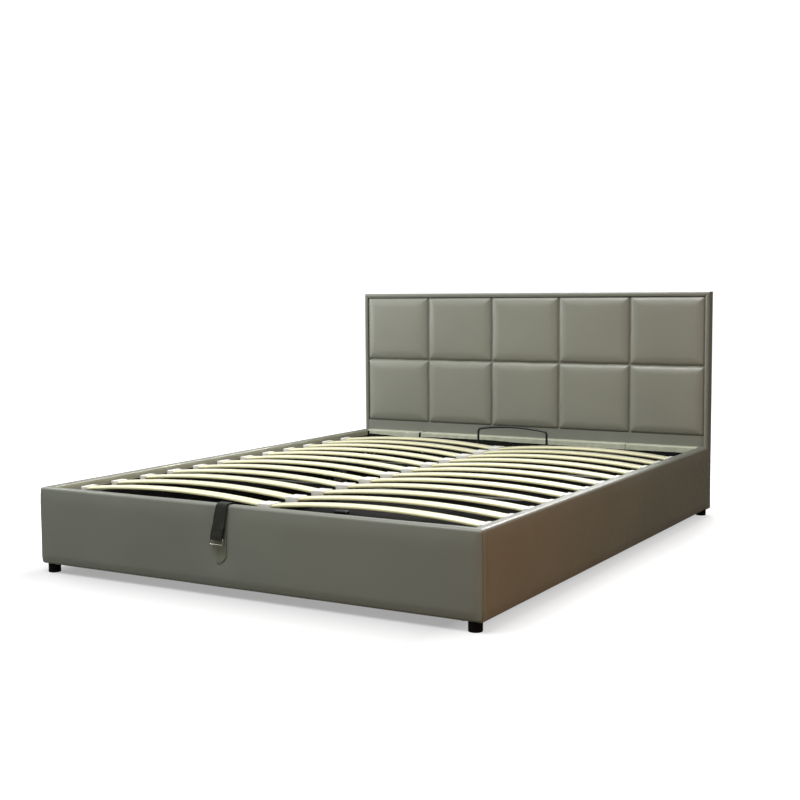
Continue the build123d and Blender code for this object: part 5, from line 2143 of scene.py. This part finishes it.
@dataclass
class PullStrap:
    """The webbing over the foot rail with its ring and leatherette tab."""

    thickness: float = 1.9 * MM
    crest: float = 5 * MM
    stand_off: float = 12.5 * MM
    shoulder: float = 6.2 * MM
    shoulder_drop: float = 8 * MM
    drop: float = 107 * MM
    loop_height: float = 9 * MM
    lean: float = 18 * MM
    waist: float = 0.1
    waist_place: float = 62 * MM
    waist_reach: float = 26 * MM
    overlap: float = 38 * MM
    stitch_length: float = 4.0 * MM
    stitch_pitch: float = 5.2 * MM
    stitch_wire: float = 0.9 * MM
    tab_wall: float = 1.5 * MM
    tab_rise: float = 25 * MM
    tab_slope: float = 3.0
    tab_lift: float = 1.2 * MM
    tab_curl: float = 60 * MM
    tab_gap: float = 0.35 * MM
    tab_trim: float = 5 * MM
    tab_tuck: float = 12 * MM
    tab_hem: float = 3 * MM
    ring_wire: float = 1.7 * MM
    ring_half: float = 1.55 * MM
    ring_corner: float = 3 * MM
    ring_height: float = 21 * MM
    screw_radius: float = 5 * MM
    screw_height: float = 2.4 * MM

    def __post_init__(self) -> None:
        """Take the strap's places from its CAD nodes."""
        self.low, self.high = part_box("pull_strap")
        self.tab_low, self.tab_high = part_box("strap_tab")
        self.anchor_low, self.anchor_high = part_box("strap_anchor")
        self.tab_high.x -= self.tab_trim
        self.ring_low, self.ring_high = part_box("strap_ring")
        self.ring_high.z = self.ring_low.z + self.ring_height
        self.rails = Rails()
        self.foot_y = self.rails.foot_low.y
        self.tuck_y = self.rails.foot_high.y
        self.rail_top = self.rails.foot_high.z
        self.width = self.anchor_high.x - self.anchor_low.x
        self.top_x = (self.anchor_low.x + self.anchor_high.x) / 2

    def build(self) -> None:
        """Make the pieces of the strap."""
        self.strap()
        self.anchor()
        self.tab()
        self.ring()

    def ring(self) -> None:
        """The rectangular wire ring in the webbing's loop, bent from round wire and welded at one side."""
        low, high, wire = self.ring_low, self.ring_high, self.ring_wire
        middle = (low + high) / 2
        half_x = (high.x - low.x) / 2 - wire
        half_z = (high.z - low.z) / 2 - wire
        corner = self.ring_corner
        rows = []
        for quarter, (sign_x, sign_z) in enumerate(((1, 1), (-1, 1), (-1, -1), (1, -1))):
            for index in range(9):
                turn = QUARTER * (quarter + index / 8)
                out = Vector((math.cos(turn), 0, math.sin(turn)))
                centre = Vector((sign_x * (half_x - corner), 0, sign_z * (half_z - corner)))
                at = middle + centre + out * corner
                circle = (math.tau * side / 12 for side in range(12))
                rows.append([at + (out * math.cos(a) + Vector((0, math.sin(a), 0))) * wire for a in circle])
        rows.append(rows[0])
        shape = grid_shape(rows, closed=True)
        bmesh.ops.remove_doubles(shape, verts=shape.verts, dist=WELD)
        ring = object_from("strap_wire_ring", outward(shape))
        place_piece(ring, NICKEL, Body.STRAP, "strap_ring")

    def strap(self) -> None:
        """The webbing from the foot tube over the rail, round the ring and up behind itself."""
        top = self.rail_top + self.crest
        ring_x = (self.ring_low.x + self.ring_high.x) / 2
        ring_y = (self.ring_low.y + self.ring_high.y) / 2
        bar_z = self.ring_high.z - self.ring_wire
        half = self.thickness / 2
        ahead = ring_y - self.ring_half - half
        behind = ring_y + self.ring_half + half
        middle_y = self.foot_y - (self.shoulder + self.stand_off) / 2
        profile = (
            (self.anchor_low.y - MM, self.anchor_low.z + half), (self.tuck_y + 9 * MM, self.rail_top - 16.5 * MM),
            (self.tuck_y + 3 * MM, self.rail_top - 1.5 * MM), (self.tuck_y - 1.5 * MM, top - half),
            ((self.foot_y + self.tuck_y) / 2, top), (self.foot_y + 3 * MM, top - half / 2),
            (self.foot_y - self.shoulder / 2, top - self.shoulder_drop / 2),
            (self.foot_y - self.shoulder, self.rail_top - self.shoulder_drop),
            (middle_y, self.rail_top - (self.drop + self.shoulder_drop) / 2),
            (ahead + 0.6 * MM, bar_z + 14 * MM), (ahead, bar_z + 3 * MM), (ahead, bar_z),
            (ahead + 0.9 * MM, bar_z - 1.8 * MM), (ring_y, bar_z - 1.5 * MM - half - 0.05 * MM),
            (behind - 0.9 * MM, bar_z - 1.8 * MM), (behind, bar_z), (behind, bar_z + 3 * MM),
            (behind + 0.2 * MM, bar_z + 14 * MM), (behind + 2.4 * MM, bar_z + self.overlap),
        )
        points = []
        for y, z in profile:
            in_ring = y < self.foot_y and z < bar_z + 4 * MM
            fall = unit((top - z) / self.drop) if y < self.foot_y else 0.0
            points.append(Vector((ring_x if in_ring else self.top_x - self.lean * fall, y, z)))
        line = smooth_line(points, 3 * MM)

        def width(passed: float) -> float:
            """The webbing's share of its width, less where it is creased."""
            return 1 - self.waist * math.exp(-(((passed - self.waist_place) / self.waist_reach) ** 2))

        strap = Ribbon(self.width, self.thickness).along("webbing_strap", line, width)
        place_piece(strap, WEBBING, Body.STRAP, "pull_strap")
        self.stitches(ahead - half, bar_z, ring_x)

    def stitches(self, face_y: float, bar_z: float, ring_x: float) -> None:
        """A sewn box that closes the loop round the ring.

        Args:
            face_y: The front of the webbing above the ring.
            bar_z: Height of the ring's upper bar.
            ring_x: The middle of the webbing there.
        """
        half = self.width / 2 - 5 * MM
        low, high = bar_z + 7 * MM, bar_z + self.overlap - 8 * MM
        slope = (self.foot_y - (self.shoulder + self.stand_off) / 2) - (self.foot_y - self.stand_off)
        rise = self.drop / 2 - self.loop_height

        def spot(x: float, z: float, along: Vector) -> Spot:
            """A stitch on the leaning front of the webbing."""
            share = (z - bar_z) / rise
            at = Vector((ring_x + x + self.lean * share * 0.45, face_y + slope * share, z))
            return Spot(at, -HEADWARD, along)

        spots = [spot(x, z, ACROSS) for z in (low, high) for x in spread(-half, half, self.stitch_pitch)]
        for x in (-half, half):
            spots += [spot(x, z, UP) for z in spread(low, high, self.stitch_pitch)[1:-1]]
        template = stitch(self.stitch_length, self.stitch_wire)
        Scatter.place("strap_box_stitches", template, spots, THREAD, Body.STRAP)

    def anchor(self) -> None:
        """The strap's end on the foot tube, under two screws."""
        low, high = self.anchor_low, self.anchor_high
        middle_z = (low.z + high.z) / 2
        line = [Vector((self.top_x, y, middle_z)) for y in spread(low.y + 0.2 * MM, high.y, 3 * MM)]
        end = Ribbon(self.width, high.z - low.z).along("webbing_end", line, lambda passed: 1.0)
        place_piece(end, WEBBING, Body.PLATFORM, "strap_anchor")
        screws_low, screws_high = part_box("strap_screws")
        y = (screws_low.y + screws_high.y) / 2
        places = (screws_low.x + self.screw_radius, screws_high.x - self.screw_radius)
        spots = [Spot(Vector((x, y, high.z - 0.2 * MM)), UP, ACROSS) for x in places]
        template = cross_head(self.screw_radius, self.screw_height)
        Scatter.place("strap_screw_heads", template, spots, ZINC_PLATE, Body.PLATFORM, "strap_screws")

    def tab_end(self, x: float) -> float:
        """How low the tab reaches, which its slanted cut gives."""
        share = max(0.0, x - self.tab_low.x) / (self.tab_high.x - self.tab_low.x)
        return self.tab_low.z + self.tab_rise * share ** self.tab_slope

    def tab_back(self, x: float, z: float) -> float:
        """How far in front the back of the tab lies: it curls off the rail towards its end.

        Args:
            x: The place across the tab.
            z: How high it is.

        Returns:
            The place along Y.
        """
        free = max(0.0, 1 - (z - self.tab_low.z) / self.tab_curl)
        across = (x - self.tab_low.x) / (self.tab_high.x - self.tab_low.x)
        curl = self.tab_lift * free * free * (0.35 + 0.65 * across)
        return self.foot_y - self.rails.foot_face(x, z) - self.tab_gap - curl

    def tab(self) -> None:
        """The leatherette tab that is sewn down the rail's face, its end cut at a slant."""
        low, high, top = self.tab_low, self.tab_high, self.rail_top
        width = high.x - low.x
        inner_y = self.tuck_y - self.tab_tuck
        lines = []
        for share in spread(0.0, 1.0, 1 / 16):
            x = low.x + width * share
            crest = self.rails.foot_shoulder(x, 0.0, self.tab_gap)
            line = [Vector((x, y, crest.z)) for y in reversed(spread(crest.y, inner_y, 4 * MM)[1:])]
            line += [self.rails.foot_shoulder(x, QUARTER * index / 6, self.tab_gap) for index in range(7)]
            heights = spread(self.tab_end(x), top + self.rails.lift - self.rails.radius, 4.5 * MM)[:-1]
            lines.append(line + [Vector((x, self.tab_back(x, z), z)) for z in reversed(heights)])
        length = max(len(line) for line in lines)
        rows = []
        for index in range(length):
            row = []
            for line in lines:
                place = index * (len(line) - 1) / (length - 1)
                start = min(int(place), len(line) - 2)
                row.append(line[start].lerp(line[start + 1], place - start))
            rows.append(row)
        shape = grid_shape(rows)
        face_sheet(shape, -UP, -HEADWARD)
        tab = thickened(object_from("leatherette_tab", shape), self.tab_wall, 1.0)
        place_piece(tab, TAB_LEATHERETTE, Body.BASE, "strap_tab")
        spots = [
            Spot(Vector((x, self.tab_back(x, z) - self.tab_wall, z)), -HEADWARD, UP)
            for x in (low.x + self.tab_hem, high.x - self.tab_hem)
            for z in spread(self.tab_end(x) + self.tab_hem, self.ring_low.z - 4 * MM, self.stitch_pitch)
        ]
        template = stitch(self.stitch_length, self.stitch_wire)
        Scatter.place("tab_stitches", template, spots, TAB_THREAD, Body.BASE)


# Studio


@dataclass
class Studio:
    """Camera, floor and lights."""

    place: tuple[float, float, float] = (2.365, -4.146, 0.937)
    yaw: float = math.radians(30.153)
    pitch: float = math.radians(4.759)
    roll: float = math.radians(-0.384)
    focal_pixels: float = 1262.8
    frame_pixels: float = 800.0
    sensor: float = 36.0
    floor_half: float = 40.0
    floor_tone: str = "909090"
    # The bed's footprint and the floor's painted shadow round it: the X range where it lightens to the right, its glow
    # at the bed's edge on the left and right, and how far it reaches before full glow.
    footprint: tuple[float, float, float] = (0.84, 1.09, 0.0)
    corner: tuple[float, float] = (0.7, 0.85)
    glow_left: float = 0.36
    glow_right: float = 0.62
    glow_reach: float = 0.5
    bounce: tuple[float, float] = (-0.5, 1.2)
    bounce_left: str = "a0a098"
    bounce_right: str = "8c7a62"
    ambient_low: float = 0.28
    ambient_high: float = 0.5
    ambient_down: float = 0.15
    backdrop: float = 1.1

    def build(self) -> None:
        """Set the camera, the floor, the surround and the lights."""
        bpy.context.scene.view_settings.view_transform = "Standard"
        self.camera()
        floor = self.floor()
        self.surround()
        centre = (0.0, 0.0, 0.3)
        self.softbox("key_softbox", (-0.6, -2.8, 5.4), centre, (3.4, 3.4), 430.0)
        self.softbox("back_softbox", (-0.2, 3.6, 3.5), centre, (2.0, 1.8), 250.0)
        self.softbox("left_softbox", (-2.9, -0.3, 1.5), (0.0, 1.0, 0.6), (1.4, 1.2), 52.0)
        self.softbox("right_softbox", (5.0, 0.3, 3.4), centre, (2.4, 2.4), 60.0, "ffe8d4")
        warm = self.softbox("warm_bounce", (2.1, -1.2, 0.4), (0.84, -0.75, 0.12), (0.7, 0.5), 7.0, "ff9a26")
        lit = bpy.data.collections.new("warm_bounce_receivers")
        lit.objects.link(floor)
        lit.collection_objects[0].light_linking.link_state = "EXCLUDE"
        warm.light_linking.receiver_collection = lit
        warm.visible_glossy = False

    def camera(self) -> None:
        """The camera at the photograph's place and angle."""
        level = Vector((math.cos(self.yaw), math.sin(self.yaw), 0))
        ahead = UP.cross(level) * math.cos(self.pitch) - UP * math.sin(self.pitch)
        upright = level.cross(ahead)
        right = math.cos(self.roll) * level + math.sin(self.roll) * upright
        up = -math.sin(self.roll) * level + math.cos(self.roll) * upright
        data = bpy.data.cameras.new("camera")
        data.sensor_width = self.sensor
        data.lens = self.focal_pixels / self.frame_pixels * self.sensor
        data.clip_end = 2 * self.floor_half
        camera = bpy.data.objects.new("camera", data)
        bpy.context.scene.collection.objects.link(camera)
        turn = Matrix((right, up, -ahead)).transposed().to_4x4()
        camera.matrix_world = Matrix.Translation(self.place) @ turn
        bpy.context.scene.camera = camera

    def floor(self) -> Object:
        """A plain pale floor, white to the camera and duller, warm on the right, to what it lights; to the camera its
        glow dips round the bed, less on the right side: a painted shadow.

        Returns:
            The floor.
        """
        shape = bmesh.new()
        bmesh.ops.create_grid(shape, x_segments=1, y_segments=1, size=self.floor_half)
        floor = object_from("studio_floor", shape)
        paper = bpy.data.materials.new("white_studio_paper")
        paper.use_nodes = True
        tree = paper.node_tree
        spot = add_node(tree, "ShaderNodeTexCoord").outputs["Object"]
        side = add_node(tree, "ShaderNodeSeparateXYZ", inputs={"Vector": spot}).outputs["X"]
        # The glow at the bed's edge, higher on the right, rising to full over the reach: a painted shadow round the
        # bed.
        near = ranged(tree, side, self.corner, (self.glow_left, self.glow_right))
        shader = tree.nodes["Principled BSDF"]
        set_inputs(tree, shader, {
            "Base Color": linear(self.floor_tone), "Roughness": 0.95, "Specular IOR Level": 0.0,
            "Emission Color": linear("ffffff"),
            "Emission Strength": ranged(tree, self.beyond(tree, spot), (0.0, self.glow_reach), (near, 1.0)),
        })
        tone = tones(tree, ranged(tree, side, self.bounce), (0.0, self.bounce_left), (1.0, self.bounce_right))
        bounce = add_node(tree, "ShaderNodeBsdfDiffuse", inputs={"Color": tone})
        self.split(tree, bounce.outputs["BSDF"], shader.outputs["BSDF"], "Material Output")
        floor.data.materials.append(paper)
        floor.visible_glossy = False
        return floor

    def beyond(self, tree: NodeTree, spot: NodeSocket) -> NodeSocket:
        """How far a place on the floor lies outside the bed's footprint.

        Args:
            tree: The floor's nodes.
            spot: The place.

        Returns:
            The distance.
        """
        for operation, other in (("ABSOLUTE", None), ("SUBTRACT", self.footprint), ("MAXIMUM", (0.0, 0.0, 0.0))):
            inputs = {0: spot} if other is None else {0: spot, 1: other}
            spot = add_node(tree, "ShaderNodeVectorMath", {"operation": operation}, inputs).outputs["Vector"]
        return add_node(tree, "ShaderNodeVectorMath", {"operation": "LENGTH"}, {0: spot}).outputs["Value"]

    @staticmethod
    def split(tree: NodeTree, lit: NodeSocket, seen: NodeSocket, output: str) -> None:
        """Show one shader to the camera and another to what it lights.

        Args:
            tree: The node tree.
            lit: The shader for what it lights.
            seen: The shader for the camera.
            output: The name of the tree's output node.
        """
        rays = add_node(tree, "ShaderNodeLightPath")
        both = add_node(tree, "ShaderNodeMixShader", inputs={0: rays.outputs["Is Camera Ray"], 1: lit, 2: seen})
        tree.links.new(both.outputs["Shader"], tree.nodes[output].inputs["Surface"])

    def surround(self) -> None:
        """A white backdrop whose light falls off to the right, as in a room with its window on the left."""
        world = bpy.data.worlds.new("studio")
        world.use_nodes = True
        tree = world.node_tree
        facing = add_node(tree, "ShaderNodeTexCoord").outputs["Generated"]
        parts = add_node(tree, "ShaderNodeSeparateXYZ", inputs={"Vector": facing})
        glow = ranged(tree, parts.outputs["X"], (-0.5, 0.6), (self.ambient_high, self.ambient_low))
        rise = ranged(tree, parts.outputs["Z"], (-0.1, 0.3), (self.ambient_down, 1.0))
        both = add_node(tree, "ShaderNodeMath", {"operation": "MULTIPLY"}, {0: glow, 1: rise})
        lit, seen = (
            add_node(tree, "ShaderNodeBackground", inputs={"Color": linear("ffffff"), "Strength": strength})
            for strength in (both.outputs["Value"], self.backdrop)
        )
        self.split(tree, lit.outputs["Background"], seen.outputs["Background"], "World Output")
        bpy.context.scene.world = world

    def softbox(
        self, name: str, place: tuple[float, float, float], target: tuple[float, float, float],
        size: tuple[float, float], power: float, tint: str = "ffffff",
    ) -> Object:
        """One rectangular light that the camera doesn't see.

        Args:
            name: Its name.
            place: Where it hangs.
            target: What it points at.
            size: Its width and height.
            power: Its power in watts.
            tint: Its colour.

        Returns:
            The light.
        """
        data = bpy.data.lights.new(name, "AREA")
        data.shape = "RECTANGLE"
        data.size, data.size_y = size
        data.energy = power
        data.color = linear(tint)[:3]
        light = bpy.data.objects.new(name, data)
        light.visible_camera = False
        bpy.context.scene.collection.objects.link(light)
        aim = Vector(target) - Vector(place)
        light.matrix_world = Matrix.Translation(place) @ aim.to_track_quat("-Z", "Y").to_matrix().to_4x4()
        return light


def main() -> None:
    """Build the bed's looks sub-assembly by sub-assembly, then the studio."""
    logging.basicConfig(level=logging.INFO, format="%(message)s")
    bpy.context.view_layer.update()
    for assembly in (Headboard(), Rails(), Platform(), Underframe(), Mechanism(), PullStrap(), Studio()):
        LOG.info("building %s", type(assembly).__name__)
        assembly.build()
    bpy.context.view_layer.update()


if __name__ == "__main__":
    main()
